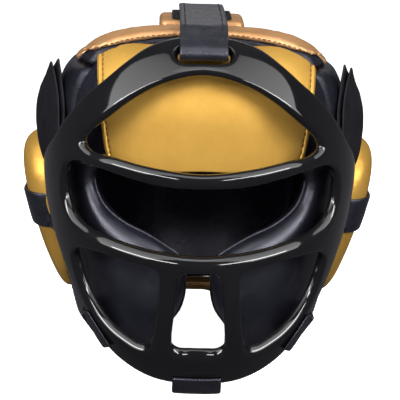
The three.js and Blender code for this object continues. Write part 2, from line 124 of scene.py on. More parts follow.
def curve_through(corners: Sequence[Sequence[float]], steps: int, closed: bool = True) -> Array:
    """Evenly spaced points of a smooth curve through its corners.

    Args:
        corners: Points that the curve passes through, with any number of coordinates.
        steps: How many points to give.
        closed: Whether the curve runs back to its first corner.

    Returns:
        One row for each point.
    """
    here = np.asarray(corners, float)
    if closed:
        before, after, beyond = np.roll(here, 1, 0), np.roll(here, -1, 0), np.roll(here, -2, 0)
    else:
        long = np.vstack([2 * here[0] - here[1], here, 2 * here[-1] - here[-2]])
        before, here, after, beyond = long[:-3], long[1:-2], long[2:-1], long[3:]
    spans = ((before, here), (here, after), (after, beyond))
    first, middle, last = (np.maximum(np.linalg.norm(b - a, axis=1), 1e-6)[:, None] ** 0.5 for a, b in spans)
    leave = ((here - before) / first - (after - before) / (first + middle)) * middle + after - here
    arrive = ((beyond - after) / last - (beyond - here) / (middle + last)) * middle + after - here
    t = np.linspace(0, 1, CURVE_STEPS, endpoint=False)[:, None, None]
    rows = (2 * t**3 - 3 * t**2 + 1) * here + (t**3 - 2 * t**2 + t) * leave
    rows = rows + (3 * t**2 - 2 * t**3) * after + (t**3 - t**2) * arrive
    points = rows.transpose(1, 0, 2).reshape(-1, here.shape[1])
    points = np.vstack([points, after[-1]])
    walked = walked_along(points)
    return read_along(np.linspace(0, walked[-1], steps, endpoint=not closed), walked, points)


def whole_loop(half: Sequence[Sequence[float]]) -> Array:
    """A loop from its half outline on the +x side, which starts and ends on the middle plane.

    Args:
        half: Corners as x and z.

    Returns:
        Corners of the whole loop.
    """
    inner = [corner for corner in half if corner[0] > 0]
    other = [(-x, z) for x, z in reversed(inner)]
    return np.array([half[0], *inner, half[-1], *other], float)


def mirrored_loop(loop: Sequence[Sequence[float]]) -> Array:
    """The same loop on the other side of the middle plane."""
    return np.array([(-x, z) for x, z in reversed(loop)], float)


def line_distance(points: Array, loop: Array) -> Array:
    """Distance from points to a closed polyline, in any number of coordinates.

    Args:
        points: One row for each.
        loop: The polyline's corners.

    Returns:
        One distance for each point.
    """
    best = np.full(len(points), np.inf)
    for start, end in zip(loop, np.roll(loop, -1, 0)):
        edge = end - start
        away = points - start
        share = np.clip(away @ edge / max(edge @ edge, 1e-9), 0.0, 1.0)
        best = np.minimum(best, ((away - share[:, None] * edge) ** 2).sum(1))
    return np.sqrt(best)


def is_inside(points: Array, loop: Array) -> Array:
    """Whether points in a plane lie inside a closed loop.

    Args:
        points: One row for each.
        loop: The loop's corners.

    Returns:
        One answer for each point.
    """
    inside = np.zeros(len(points), bool)
    for start, end in zip(loop, np.roll(loop, -1, 0)):
        crosses = (start[1] > points[:, 1]) != (end[1] > points[:, 1])
        rise = end[1] - start[1] if end[1] != start[1] else 1.0
        at = start[0] + (end[0] - start[0]) * (points[:, 1] - start[1]) / rise
        inside ^= crosses & (points[:, 0] < at)
    return inside


@dataclass(frozen=True)
class DistanceTable:
    """Signed distances on an even grid of two coordinates, read back with smooth cubic steps."""

    low: tuple[float, float]
    step: float
    values: Array

    @classmethod
    def of_loop(cls, loop: Array, margin: float = 30.0, step: float = 1.0) -> "DistanceTable":
        """Tabulates the distance to a closed loop, negative inside it.

        Args:
            loop: The loop's corners.
            margin: How far the table reaches past the loop.
            step: The grid's step.

        Returns:
            The table.
        """
        low = loop.min(0) - margin
        counts = np.ceil((loop.max(0) + margin - low) / step).astype(int) + 1
        first, second = (low[axis] + step * np.arange(counts[axis]) for axis in (0, 1))
        grid = np.stack(np.meshgrid(first, second, indexing="ij"), -1).reshape(-1, 2)
        signs = np.where(is_inside(grid, loop), -1.0, 1.0)
        return cls(tuple(low), step, (signs * line_distance(grid, loop)).reshape(counts))

    def at(self, first: Array, second: Array) -> Array:
        """Reads the table at pairs of coordinates.

        Args:
            first: Each spot's first coordinate.
            second: Its second one.

        Returns:
            One distance for each spot.
        """
        total = np.zeros(len(first))
        cells, weights = [], []
        for axis, value in enumerate((first, second)):
            place = np.clip((value - self.low[axis]) / self.step, 1.0, self.values.shape[axis] - 2.001)
            cell = place.astype(int)
            t = place - cell
            cells.append(cell)
            weights.append((
                ((2 - t) * t - 1) * t / 2, ((3 * t - 5) * t * t + 2) / 2,
                ((4 - 3 * t) * t + 1) * t / 2, (t - 1) * t * t / 2,
            ))
        for i in range(4):
            for j in range(4):
                total += weights[0][i] * weights[1][j] * self.values[cells[0] + i - 1, cells[1] + j - 1]
        return total


@dataclass(frozen=True)
class SoftNoise:
    """Smooth seeded noise from -1 to 1 on a cubic lattice."""

    seed: int
    cell: float
    stretch: tuple[float, float, float] = (1.0, 1.0, 1.0)
    size: int = 24

    def at(self, points: Array) -> Array:
        """The noise at points.

        Args:
            points: One row for each.

        Returns:
            One value for each point.
        """
        lattice = np.random.default_rng(self.seed).uniform(-1, 1, (self.size,) * 3)
        place = points / (self.cell * np.array(self.stretch)) + self.size * 8
        cell = np.floor(place).astype(int)
        t = place - cell
        t = t * t * (3 - 2 * t)
        total = np.zeros(len(points))
        for corner in np.ndindex(2, 2, 2):
            weight = np.prod(np.where(corner, t, 1 - t), axis=1)
            spot = (cell + np.array(corner)) % self.size
            total += weight * lattice[spot[:, 0], spot[:, 1], spot[:, 2]]
        return total


def rounded_overlap(parts: Sequence[Array], radius: float) -> Array:
    """What several fields share, with its outer edges rounded off.

    Args:
        parts: Signed distances, negative inside each part.
        radius: How round the edges between the parts are.

    Returns:
        One signed distance for each point.
    """
    stack = np.stack(parts)
    reach = np.sqrt((np.maximum(stack + radius, 0.0) ** 2).sum(0))
    return np.minimum(stack.max(0) + radius, 0.0) + reach - radius


def slope_of(field: Field, points: Array, step: float = 0.08) -> Array:
    """The field's slope at points, by central differences.

    Args:
        field: Signed distance.
        points: One row for each.
        step: How far off the field is read.

    Returns:
        One slope for each point.
    """
    slope = np.empty_like(points)
    for axis in range(3):
        shift = np.zeros(3)
        shift[axis] = step
        slope[:, axis] = (field(points + shift) - field(points - shift)) / (2 * step)
    return slope


def settle(field: Field, points: Array, rounds: int = 3, longest: float = 3.0) -> Array:
    """Moves points along the slope onto the field's surface.

    Args:
        field: Signed distance.
        points: Points near the surface.
        rounds: How often they move.
        longest: The longest distance that counts.

    Returns:
        The moved points.
    """
    for _ in range(rounds):
        slope = slope_of(field, points)
        value = np.clip(field(points), -longest, longest)
        points = points - slope * (value / np.maximum((slope**2).sum(1), LEAST_SLOPE))[:, None]
    return points


@dataclass(frozen=True)
class Shape:
    """Vertices and faces of one piece, with the normals of its exact surface where it has one."""

    vertices: Array
    faces: list
    normals: Optional[Array] = None

    def mirrored(self, side: Side) -> "Shape":
        """The shape on the given side, if it was made on the right.

        Args:
            side: Where the shape belongs.

        Returns:
            The shape or its mirror image.
        """
        if side is Side.RIGHT:
            return self
        normals = None if self.normals is None else side.mirrored(self.normals)
        return Shape(side.mirrored(self.vertices), [list(face)[::-1] for face in self.faces], normals)

    def moved(self, shifts: Array) -> "Shape":
        """The shape with every vertex shifted, and its normals left to its faces."""
        return Shape(self.vertices + shifts, self.faces)


def joined(shapes: Sequence[Shape]) -> Shape:
    """Several loose shapes as one.

    Args:
        shapes: The shapes to join.

    Returns:
        One shape.
    """
    faces, base = [], 0
    for shape in shapes:
        faces += [[corner + base for corner in face] for face in shape.faces]
        base += len(shape.vertices)
    return Shape(np.vstack([shape.vertices for shape in shapes]), faces)


def relaxed(vertices: Array, quads: Array) -> Array:
    """Each vertex halfway to the middle of its neighbours.

    Args:
        vertices: One row for each vertex, a place or a normal.
        quads: Corners of each quad.

    Returns:
        The moved rows.
    """
    count = len(vertices)
    total = np.zeros_like(vertices)
    for near, far in ((0, 1), (1, 2), (2, 3), (3, 0)):
        for one, other in ((near, far), (far, near)):
            for axis in range(3):
                total[:, axis] += np.bincount(quads[:, one], vertices[quads[:, other], axis], count)
    met = np.maximum(2 * np.bincount(quads.ravel(), minlength=count), 1)
    return (vertices + total / met[:, None]) / 2


def net_shape(field: Field, low: Sequence[float], high: Sequence[float], cell: float) -> Shape:
    """Meshes the surface where a field is zero with even quads.

    Args:
        field: Signed distance in millimetres, negative inside.
        low: Lowest corner of the space that holds the surface.
        high: Highest corner of that space.
        cell: Length of a quad's side.

    Returns:
        The shape, with the field's own normals.
    """
    low = np.asarray(low, float) - 2 * cell
    counts = np.ceil((np.asarray(high, float) + 2 * cell - low) / cell).astype(int) + 1
    axes = [low[axis] + cell * np.arange(counts[axis]) for axis in range(3)]
    grid = np.stack(np.meshgrid(*axes, indexing="ij"), -1).reshape(-1, 3)
    values = field(grid).reshape(counts)
    inside = values < 0
    corners = sum(
        inside[i:counts[0] - 1 + i, j:counts[1] - 1 + j, k:counts[2] - 1 + k].astype(np.int8)
        for i, j, k in np.ndindex(2, 2, 2)
    )
    cells = np.argwhere((corners > 0) & (corners < 8))
    index = np.full(corners.shape, -1)
    index[tuple(cells.T)] = np.arange(len(cells))
    total = np.zeros((len(cells), 3))
    met = np.zeros(len(cells))
    quads = []
    for axis in range(3):
        across, upward = (axis + 1) % 3, (axis + 2) % 3
        along = np.eye(3, dtype=int)[axis]
        for i, j in np.ndindex(2, 2):
            start = cells.copy()
            start[:, across] += i
            start[:, upward] += j
            one, other = values[tuple(start.T)], values[tuple((start + along).T)]
            crosses = (one < 0) != (other < 0)
            share = one / np.where(crosses, one - other, 1.0)
            total[crosses] += (start + share[:, None] * along)[crosses]
            met += crosses
        near = np.take(inside, np.arange(counts[axis] - 1), axis)
        far = np.take(inside, np.arange(1, counts[axis]), axis)
        edges = np.argwhere(near != far)
        leaving = near[tuple(edges.T)]
        ring = []
        for i, j in ((1, 1), (0, 1), (0, 0), (1, 0)):
            spot = edges.copy()
            spot[:, across] -= i
            spot[:, upward] -= j
            ring.append(index[tuple(spot.T)])
        quad = np.stack(ring, 1)
        quad[~leaving] = quad[~leaving][:, ::-1]
        quads.append(quad)
    quads = np.vstack(quads)
    vertices = low + cell * total / met[:, None]
    for _ in range(2):
        vertices = settle(field, relaxed(vertices, quads), 2)
    return Shape(vertices, quads.tolist(), unit(slope_of(field, vertices)))


def tube_shape(path: Array, normals: Array, radius: float, sides: int = 8) -> Shape:
    """A round cord along a path on a surface.

    Args:
        path: Points of the cord's middle.
        normals: The surface's normals there, which the cord's rings follow.
        radius: The cord's radius.
        sides: How many sides its rings have.

    Returns:
        A closed tube.
    """
    along = unit(np.gradient(path, axis=0))
    aside = unit(np.cross(along, normals))
    lift = unit(np.cross(aside, along))
    turns = np.linspace(0, 2 * math.pi, sides, endpoint=False)
    rings = [path + radius * (np.cos(turn) * aside + np.sin(turn) * lift) for turn in turns]
    vertices = np.stack(rings, 1).reshape(-1, 3)
    last = len(vertices) - sides
    faces = []
    for start in range(0, last, sides):
        for corner in range(sides):
            one, beside = start + corner, start + (corner + 1) % sides
            faces.append([one, one + sides, beside + sides, beside])
    faces.append(list(range(sides)))
    faces.append([last + corner for corner in reversed(range(sides))])
    return Shape(vertices, faces)


@dataclass(frozen=True)
class Stitching:
    """A run of thread: the length of a stitch, the gap to the next one and the thread's radius."""

    length: float = 3.4
    gap: float = 1.5
    radius: float = 0.42
    sides: int = 6
    look_ahead: float = 0.1

    def shape(self, path: Array, normals: Array) -> Shape:
        """Stitches along a path on a surface, each sunk at its two ends.

        Args:
            path: Points along the seam.
            normals: The surface's normals there.

        Returns:
            All the stitches as one shape.
        """
        walked = walked_along(path)
        pitch = self.length + self.gap
        starts = np.arange(self.gap / 2, walked[-1] - self.length, pitch)
        stages = ((0.0, -0.9, 0.5), (0.2, 0.1, 1.0), (0.5, 0.35, 1.05), (0.8, 0.1, 1.0), (1.0, -0.9, 0.5))
        turns = np.linspace(0, 2 * math.pi, self.sides, endpoint=False)
        rings = []
        for share, rise, girth in stages:
            spots = starts + share * self.length
            middle = read_along(spots, walked, path)
            normal = unit(read_along(spots, walked, normals))
            ahead = read_along(spots + self.look_ahead, walked, path)
            aside = unit(np.cross(ahead - middle, normal))
            middle = middle + normal * rise * self.radius
            ring = [middle + girth * self.radius * (np.cos(t) * aside + np.sin(t) * normal) for t in turns]
            rings.append(np.stack(ring, 1))
        vertices = np.stack(rings, 1).reshape(-1, 3)
        faces = []
        size = len(stages) * self.sides
        for stitch in range(len(starts)):
            base = stitch * size
            for ring in range(len(stages) - 1):
                start = base + ring * self.sides
                for corner in range(self.sides):
                    one, beside = start + corner, start + (corner + 1) % self.sides
                    faces.append([one, one + self.sides, beside + self.sides, beside])
            faces.append([base + corner for corner in range(self.sides)])
            faces.append([base + size - 1 - corner for corner in range(self.sides)])
        return Shape(vertices, faces)

    def on_surface(self, field: Field, guess: Array) -> Shape:
        """Stitches along a line on a surface, from points close to that line."""
        path = settle(field, guess, SETTLING)
        return self.shape(path, unit(slope_of(field, path)))


@dataclass(frozen=True)
class Ribbon:
    """A flat strap: a middle surface given by its two shares, thickened with rounded edges.

    The first share runs from 0 to 1 along the strap and the second from -1 to 1 across it.
    """

    middle: Callable[[Array, Array], Array]
    length: float
    width: float
    thickness: float = 2.5
    pitch: float = 1.6
    edge: float = 1.3
    edge_shares: tuple = (0.0, 0.06, 0.22, 0.5, 1.0)
    relief: float = 0.0
    seed: int = 1
    crease: float = 7.0
    fine_crease: float = 3.2
    fine_share: float = 0.5
    row_steps: int = 160

    def shares(self, size: float) -> Array:
        """Steps along a size, from 0 to 1, that are close at both ends.

        Args:
            size: The strap's length or width.

        Returns:
            The steps.
        """
        ends = np.array(self.edge_shares) * self.edge / size
        inner = np.linspace(ends[-1], 1 - ends[-1], max(int(size / self.pitch), 3))[1:-1]
        return np.concatenate([ends, inner, 1 - ends[::-1]])

    def half_thickness(self, along: Array, across: Array) -> Array:
        """Half the thickness at shares, falling to nothing at the edges.

        Args:
            along: Shares along the strap.
            across: Shares across it.

        Returns:
            One value for each pair.
        """
        sideways = (1 - np.abs(across)) * self.width / 2
        gaps = np.stack([along * self.length, (1 - along) * self.length, sideways])
        depth = 1 - np.clip(gaps / self.edge, 0.0, 1.0)
        return self.thickness / 2 * np.sqrt(np.clip(1 - (depth**2).sum(0), 0.0, 1.0))

    def points_and_normals(self, along: Array, across: Array) -> tuple[Array, Array]:
        """Points of the middle surface and its normals, at flat lists of shares.

        Args:
            along: Shares along the strap.
            across: Shares across it.

        Returns:
            The points and the normals.
        """
        step = 1e-3
        before, after = np.clip(along - step, 0, 1), np.clip(along + step, 0, 1)
        left, right = np.clip(across - step, -1, 1), np.clip(across + step, -1, 1)
        ahead = self.middle(after, across) - self.middle(before, across)
        aside = self.middle(along, right) - self.middle(along, left)
        return self.middle(along, across), unit(np.cross(ahead, aside))

    def shape(self) -> Shape:
        """Thickens the strap and closes it.

        Returns:
            The strap's shape.
        """
        along = self.shares(self.length)
        across = self.shares(self.width) * 2 - 1
        rows, columns = len(along), len(across)
        u, v = (share.ravel() for share in np.meshgrid(along, across, indexing="ij"))
        points, normals = self.points_and_normals(u, v)
        half = self.half_thickness(u, v)
        fine = SoftNoise(self.seed + 1, self.fine_crease).at(points)
        creases = SoftNoise(self.seed, self.crease).at(points) + self.fine_share * fine
        sway = normals * (creases * self.relief)[:, None]
        top = points + sway + normals * half[:, None]
        bottom = points + sway - normals * half[:, None]
        order = np.arange(rows * columns).reshape(rows, columns)
        under = order.copy()
        inner = np.arange((rows - 2) * (columns - 2)).reshape(rows - 2, columns - 2)
        under[1:-1, 1:-1] = rows * columns + inner
        vertices = np.vstack([top, bottom.reshape(rows, columns, 3)[1:-1, 1:-1].reshape(-1, 3)])
        faces = []
        for grid, turn in ((order, 1), (under, -1)):
            quads = np.stack([grid[:-1, :-1], grid[1:, :-1], grid[1:, 1:], grid[:-1, 1:]], -1).reshape(-1, 4)
            faces += quads[:, ::turn].tolist()
        return Shape(vertices, faces)

    def stitches(
        self, inset: float, stitching: Stitching, ends: tuple[float, float] = (0.0, 1.0)
    ) -> list[Shape]:
        """Rows of stitches along both edges of the strap's outer face.

        Args:
            inset: Distance from the edge.
            stitching: The kind of stitch.
            ends: Where the rows start and stop, as shares of the strap.

        Returns:
            One shape for each row.
        """
        along = np.linspace(*ends, self.row_steps)
        rows = []
        for sign in (-1, 1):
            across = np.full_like(along, sign * (1 - 2 * inset / self.width))
            points, normals = self.points_and_normals(along, across)
            half = self.half_thickness(np.full_like(along, 0.5), across)
            rows.append(stitching.shape(points + normals * half[:, None], normals))
        return rows


@dataclass(frozen=True)
class RoundedBox:
    """A body with an oval plan that narrows to the jaw, and squarer shoulders than an egg."""

    centre_y: float
    centre_z: float
    half_width: float
    jaw_half_width: float
    front: float
    jaw_front: float
    back: float
    crown_back: float
    nape_back: float
    up: float
    down: float
    plan_power: float
    up_power: float
    down_power: float
    jaw_level: float
    side_level: float
    nape_level: float = 0.0
    back_level: float = 110.0
    crown_level: float = 140.0
    crown_fall: float = 0.0
    fall_front_y: float = -46.0
    fall_rear_y: float = 40.0

    def gauge(self, points: Array, grow: float = 0.0) -> Array:
        """How far out points are, as a share of the surface's distance.

        Args:
            points: One row for each.
            grow: How far it is moved out.

        Returns:
            One share for each point.
        """
        x, y, z = points.T
        upness = smooth_step(z, self.jaw_level, self.side_level)
        half_width = mix(self.jaw_half_width, self.half_width, upness) + grow
        front = mix(self.jaw_front, self.front, upness) + grow
        behind = mix(self.nape_back, self.back, smooth_step(z, self.nape_level, self.back_level))
        crownness = smooth_step(z, self.crown_level, self.centre_z + self.up)
        behind = mix(behind, self.crown_back, crownness) + grow
        away = y - self.centre_y
        reach = np.where(away < 0, front, behind)
        plan = (np.abs(x / half_width) ** self.plan_power + np.abs(away / reach) ** self.plan_power)
        rise = z - self.centre_z
        fall = self.crown_fall * smooth_step(y, self.fall_front_y, self.fall_rear_y)
        tall = np.where(rise > 0, rise / (self.up - fall + grow), -rise / (self.down + grow))
        power = np.where(rise > 0, self.up_power, self.down_power)
        return (plan ** (power / self.plan_power) + tall**power) ** (1 / power)

    def distance(self, points: Array, grow: float = 0.0) -> Array:
        """Signed distance to the surface, good close to it.

        Args:
            points: One row for each.
            grow: How far it is moved out.

        Returns:
            Distances, negative inside.
        """
        step = 0.05
        here = self.gauge(points, grow)
        slope = np.zeros(len(points))
        for axis in range(3):
            shift = np.zeros(3)
            shift[axis] = step
            slope += ((self.gauge(points + shift, grow) - here) / step) ** 2
        return (here - 1) / np.sqrt(np.maximum(slope, 1e-9))

    def reach(self, starts: Array, ways: Array, grow: float = 0.0) -> Array:
        """Where straight ways from points inside meet the surface.

        Args:
            starts: Points inside.
            ways: Directions of length one.
            grow: How far it is moved out.

        Returns:
            One point for each way.
        """
        near = np.zeros(len(starts))
        far = np.full(len(starts), FAR)
        for _ in range(HALVINGS):
            middle = (near + far) / 2
            outside = self.gauge(starts + ways * middle[:, None], grow) > 1
            far = np.where(outside, middle, far)
            near = np.where(outside, near, middle)
        return starts + ways * near[:, None]

    def front_y(self, x: Array, z: Array, grow: float = 0.0) -> Array:
        """The y of the front surface."""
        starts = np.stack([x, np.full_like(x, self.centre_y), z], 1)
        return self.reach(starts, np.tile([0.0, -1.0, 0.0], (len(starts), 1)), grow)[:, 1]

    def side_x(self, y: Array, z: Array, grow: float = 0.0) -> Array:
        """The x of the right side's surface."""
        starts = np.stack([np.zeros_like(y), y, z], 1)
        return self.reach(starts, np.tile([1.0, 0.0, 0.0], (len(starts), 1)), grow)[:, 0]


GUARD = RoundedBox(
    centre_y=14.5, centre_z=130, half_width=104, jaw_half_width=96, front=102, jaw_front=110,
    back=120, crown_back=80, nape_back=104, up=104, down=170,
    plan_power=2.4, up_power=4.4, down_power=2.6, jaw_level=30, side_level=170, crown_fall=10,
)
HEAD_ROOM = replace(GUARD, down=208, crown_fall=0)
CROWN_ROLL = replace(GUARD, up=111, up_power=4.2, crown_fall=0)
TAB_LEVEL = replace(GUARD, crown_fall=0)
CAGE_BODY = RoundedBox(
    centre_y=-10.5, centre_z=110, half_width=110, jaw_half_width=92, front=124, jaw_front=124,
    back=110, crown_back=110, nape_back=110, up=134, down=140,
    plan_power=2.2, up_power=3.4, down_power=2.6, jaw_level=10, side_level=150,
)


# Finishes


class ShaderGroups:
    """The effects that several finishes share, each a node group that is built once."""

    PEBBLE_EDGE = 0.25
    FOLD_SCALE = 0.13
    FOLD_DETAIL = 5.0
    FOLD_BEND = 0.6
    CLOUD_DETAIL = 4.0
    CLOUD_RANGE = (0.32, 0.68)
    RAISED_RANGE = (0.53, 0.66)

    @staticmethod
    def start(name: str, inputs: dict[str, object], outputs: dict[str, str]) -> Optional[bpy.types.NodeTree]:
        """A new group with its named sockets, or nothing if it is there already.

        Args:
            name: The group's name.
            inputs: Input names with their default values, a number or a colour.
            outputs: Output names with their socket types.

        Returns:
            The new group, for its nodes.
        """
        if name in bpy.data.node_groups:
            return None
        tree = bpy.data.node_groups.new(name, "ShaderNodeTree")
        for label, value in inputs.items():
            kind = "NodeSocketFloat" if isinstance(value, float) else "NodeSocketColor"
            tree.interface.new_socket(label, in_out="INPUT", socket_type=kind).default_value = value
        for label, kind in outputs.items():
            tree.interface.new_socket(label, in_out="OUTPUT", socket_type=kind)
        return tree

    @classmethod
    def leather_grain(cls) -> bpy.types.NodeTree:
        """Pebbled grain with fine creases, as a height.

        Returns:
            The group.
        """
        name = "leather_grain"
        tree = cls.start(name, {"Scale": 900.0, "Crease": 0.5}, {"Height": "NodeSocketFloat"})
        if tree is None:
            return bpy.data.node_groups[name]
        node, link = tree.nodes.new, tree.links.new
        source, result = node("NodeGroupInput"), node("NodeGroupOutput")
        place = node("ShaderNodeTexCoord").outputs["Object"]
        pebble = node("ShaderNodeTexVoronoi")
        pebble.feature = "DISTANCE_TO_EDGE"
        link(place, pebble.inputs["Vector"])
        link(source.outputs["Scale"], pebble.inputs["Scale"])
        dome = node("ShaderNodeMapRange")
        dome.interpolation_type = "SMOOTHSTEP"
        dome.inputs["From Max"].default_value = cls.PEBBLE_EDGE
        link(pebble.outputs["Distance"], dome.inputs["Value"])
        fold_scale = node("ShaderNodeMath")
        fold_scale.operation = "MULTIPLY"
        fold_scale.inputs[1].default_value = cls.FOLD_SCALE
        link(source.outputs["Scale"], fold_scale.inputs[0])
        fold = node("ShaderNodeTexNoise")
        fold.inputs["Detail"].default_value = cls.FOLD_DETAIL
        fold.inputs["Distortion"].default_value = cls.FOLD_BEND
        link(place, fold.inputs["Vector"])
        link(fold_scale.outputs[0], fold.inputs["Scale"])
        height = node("ShaderNodeMath")
        height.operation = "MULTIPLY_ADD"
        link(fold.outputs[0], height.inputs[0])
        link(source.outputs["Crease"], height.inputs[1])
        link(dome.outputs[0], height.inputs[2])
        link(height.outputs[0], result.inputs["Height"])
        return tree

    @classmethod
    def surface_tone(cls) -> bpy.types.NodeTree:
        """Slow changes over a surface: a colour between two tones, and a roughness between two values.

        Returns:
            The group.
        """
        name = "surface_tone"
        tones = {"Tone": (0.5, 0.5, 0.5, 1.0), "Shade": (0.3, 0.3, 0.3, 1.0)}
        numbers = {"Scale": 30.0, "Smooth": 0.3, "Rough": 0.5}
        outputs = {"Colour": "NodeSocketColor", "Roughness": "NodeSocketFloat"}
        tree = cls.start(name, {**tones, **numbers}, outputs)
        if tree is None:
            return bpy.data.node_groups[name]
        node, link = tree.nodes.new, tree.links.new
        source, result = node("NodeGroupInput"), node("NodeGroupOutput")
        cloud = node("ShaderNodeTexNoise")
        cloud.inputs["Detail"].default_value = cls.CLOUD_DETAIL
        link(node("ShaderNodeTexCoord").outputs["Object"], cloud.inputs["Vector"])
        link(source.outputs["Scale"], cloud.inputs["Scale"])
        spread = node("ShaderNodeMapRange")
        spread.inputs["From Min"].default_value, spread.inputs["From Max"].default_value = cls.CLOUD_RANGE
        link(cloud.outputs[0], spread.inputs["Value"])
        blend = node("ShaderNodeMix")
        blend.data_type = "RGBA"
        link(spread.outputs[0], blend.inputs[0])
        link(source.outputs["Tone"], blend.inputs[6])
        link(source.outputs["Shade"], blend.inputs[7])
        rough = node("ShaderNodeMix")
        link(spread.outputs[0], rough.inputs[0])
        link(source.outputs["Smooth"], rough.inputs[2])
        link(source.outputs["Rough"], rough.inputs[3])
        link(blend.outputs[2], result.inputs["Colour"])
        link(rough.outputs[0], result.inputs["Roughness"])
        return tree

    @classmethod
    def edge_wear(cls) -> bpy.types.NodeTree:
        """A colour rubbed towards another one along raised edges.

        Returns:
            The group.
        """
        name = "edge_wear"
        colours = {"Colour": (0.5, 0.5, 0.5, 1.0), "Worn": (0.7, 0.7, 0.7, 1.0)}
        tree = cls.start(name, {**colours, "Amount": 0.5}, {"Colour": "NodeSocketColor"})
        if tree is None:
            return bpy.data.node_groups[name]
        node, link = tree.nodes.new, tree.links.new
        source, result = node("NodeGroupInput"), node("NodeGroupOutput")
        raised = node("ShaderNodeMapRange")
        raised.inputs["From Min"].default_value, raised.inputs["From Max"].default_value = cls.RAISED_RANGE
        link(node("ShaderNodeNewGeometry").outputs["Pointiness"], raised.inputs["Value"])
        share = node("ShaderNodeMath")
        share.operation = "MULTIPLY"
        link(raised.outputs[0], share.inputs[0])
        link(source.outputs["Amount"], share.inputs[1])
        blend = node("ShaderNodeMix")
        blend.data_type = "RGBA"
        link(share.outputs[0], blend.inputs[0])
        link(source.outputs["Colour"], blend.inputs[6])
        link(source.outputs["Worn"], blend.inputs[7])
        link(blend.outputs[2], result.inputs["Colour"])
        return tree


@dataclass(frozen=True)
class Finish:
    """A surface: its two tones, how rough it is and how its grain stands up."""

    name: str
    tone: Colour
    shade: Colour
    worn: Colour
    smooth: float
    rough: float
    metallic: float = 0.0
    sheen: float = 0.0
    specular: float = 0.5
    tint: Colour = (1.0, 1.0, 1.0)
    grain: float = 900.0
    crease: float = 0.5
    bump: float = 0.25
    bump_depth: float = 0.0002
    tone_scale: float = 30.0
    wear: float = 0.4

    def group(
        self, tree: bpy.types.NodeTree, made: bpy.types.NodeTree, values: dict[str, object]
    ) -> bpy.types.Node:
        """Places a shared effect in this finish with its own values.

        Args:
            tree: The finish's nodes.
            made: The effect.
            values: Input names with values.

        Returns:
            The new node.
        """
        node = tree.nodes.new("ShaderNodeGroup")
        node.node_tree = made
        for label, value in values.items():
            node.inputs[label].default_value = (*value, 1.0) if isinstance(value, tuple) else value
        return node

    def material(self) -> bpy.types.Material:
        """The finish as a material, made the first time that it is asked for.

        Returns:
            The material.
        """
        found = bpy.data.materials.get(self.name)
        if found:
            return found
        made = bpy.data.materials.new(self.name)
        made.use_nodes = True
        tree = made.node_tree
        link = tree.links.new
        surface = tree.nodes["Principled BSDF"]
        for label, value in (
            ("Metallic", self.metallic), ("Sheen Weight", self.sheen),
            ("Specular IOR Level", self.specular), ("Specular Tint", (*self.tint, 1.0)),
        ):
            surface.inputs[label].default_value = value
        tone = self.group(tree, ShaderGroups.surface_tone(), {
            "Tone": self.tone, "Shade": self.shade, "Scale": self.tone_scale,
            "Smooth": self.smooth, "Rough": self.rough,
        })
        wear = self.group(tree, ShaderGroups.edge_wear(), {"Worn": self.worn, "Amount": self.wear})
        grain = self.group(tree, ShaderGroups.leather_grain(), {"Scale": self.grain, "Crease": self.crease})
        bump = tree.nodes.new("ShaderNodeBump")
        bump.inputs["Strength"].default_value = self.bump
        bump.inputs["Distance"].default_value = self.bump_depth
        link(tone.outputs["Colour"], wear.inputs["Colour"])
        link(wear.outputs["Colour"], surface.inputs["Base Color"])
        link(tone.outputs["Roughness"], surface.inputs["Roughness"])
        link(grain.outputs["Height"], bump.inputs["Height"])
        link(bump.outputs["Normal"], surface.inputs["Normal"])
        return made


GLOSS_PLASTIC = Finish(
    "gloss_black_plastic", (0.0025, 0.0025, 0.003), (0.004, 0.004, 0.0045), (0.008, 0.008, 0.009),
    smooth=0.05, rough=0.085, grain=260.0, crease=2.5, bump=0.006, bump_depth=0.0003,
    tone_scale=18.0, wear=0.2,
)
BLACK_LEATHER = Finish(
    "black_pad_leather", (0.004, 0.004, 0.0065), (0.007, 0.007, 0.011), (0.014, 0.014, 0.02),
    smooth=0.22, rough=0.32, specular=0.22, tint=(0.86, 0.86, 1.0), grain=1100.0, crease=0.8,
    tone_scale=45.0, wear=0.3,
)
GOLD_LEATHER = Finish(
    "gold_pad_leather", (0.47, 0.27, 0.056), (0.38, 0.21, 0.04), (0.6, 0.37, 0.1),
    smooth=0.27, rough=0.36, metallic=0.5, specular=0.2, tint=(1.0, 0.75, 0.4), grain=1250.0, crease=0.6,
    bump=0.22, tone_scale=35.0,
)
BRONZE_LEATHER = Finish(
    "bronze_crown_leather", (0.46, 0.25, 0.115), (0.37, 0.19, 0.08), (0.7, 0.46, 0.27),
    smooth=0.3, rough=0.4, metallic=0.6, specular=0.25, tint=(1.0, 0.8, 0.55), grain=1250.0, crease=0.8,
    bump=0.3, tone_scale=60.0,
)
# The nape pad is the ear pads' gold leather with painted shade: its tones are darkened to stand in for the
# shade it lies in inside the guard.
NAPE_LEATHER_PAINTED_SHADE = replace(
    GOLD_LEATHER, name="gold_leather_painted_shade",
    tone=(0.17, 0.1, 0.035), shade=(0.13, 0.075, 0.026), worn=(0.26, 0.16, 0.06),
)
CHEEK_LEATHER = replace(BLACK_LEATHER, name="satin_cheek_leather", smooth=0.28, rough=0.38, specular=0.75)
STRAP_LEATHER = Finish(
    "black_strap_leather", (0.005, 0.005, 0.0075), (0.009, 0.009, 0.013), (0.03, 0.03, 0.036),
    smooth=0.22, rough=0.34, specular=0.5, tint=(0.84, 0.84, 1.0), grain=1500.0, crease=1.2, bump=0.28,
    tone_scale=70.0, wear=0.5,
)
MATT_STRAP = Finish(
    "black_hook_strap", (0.004, 0.004, 0.0055), (0.007, 0.007, 0.009), (0.11, 0.11, 0.12),
    smooth=0.45, rough=0.6, specular=0.1, grain=1700.0, crease=1.0, bump=0.3, tone_scale=70.0, wear=0.9,
)
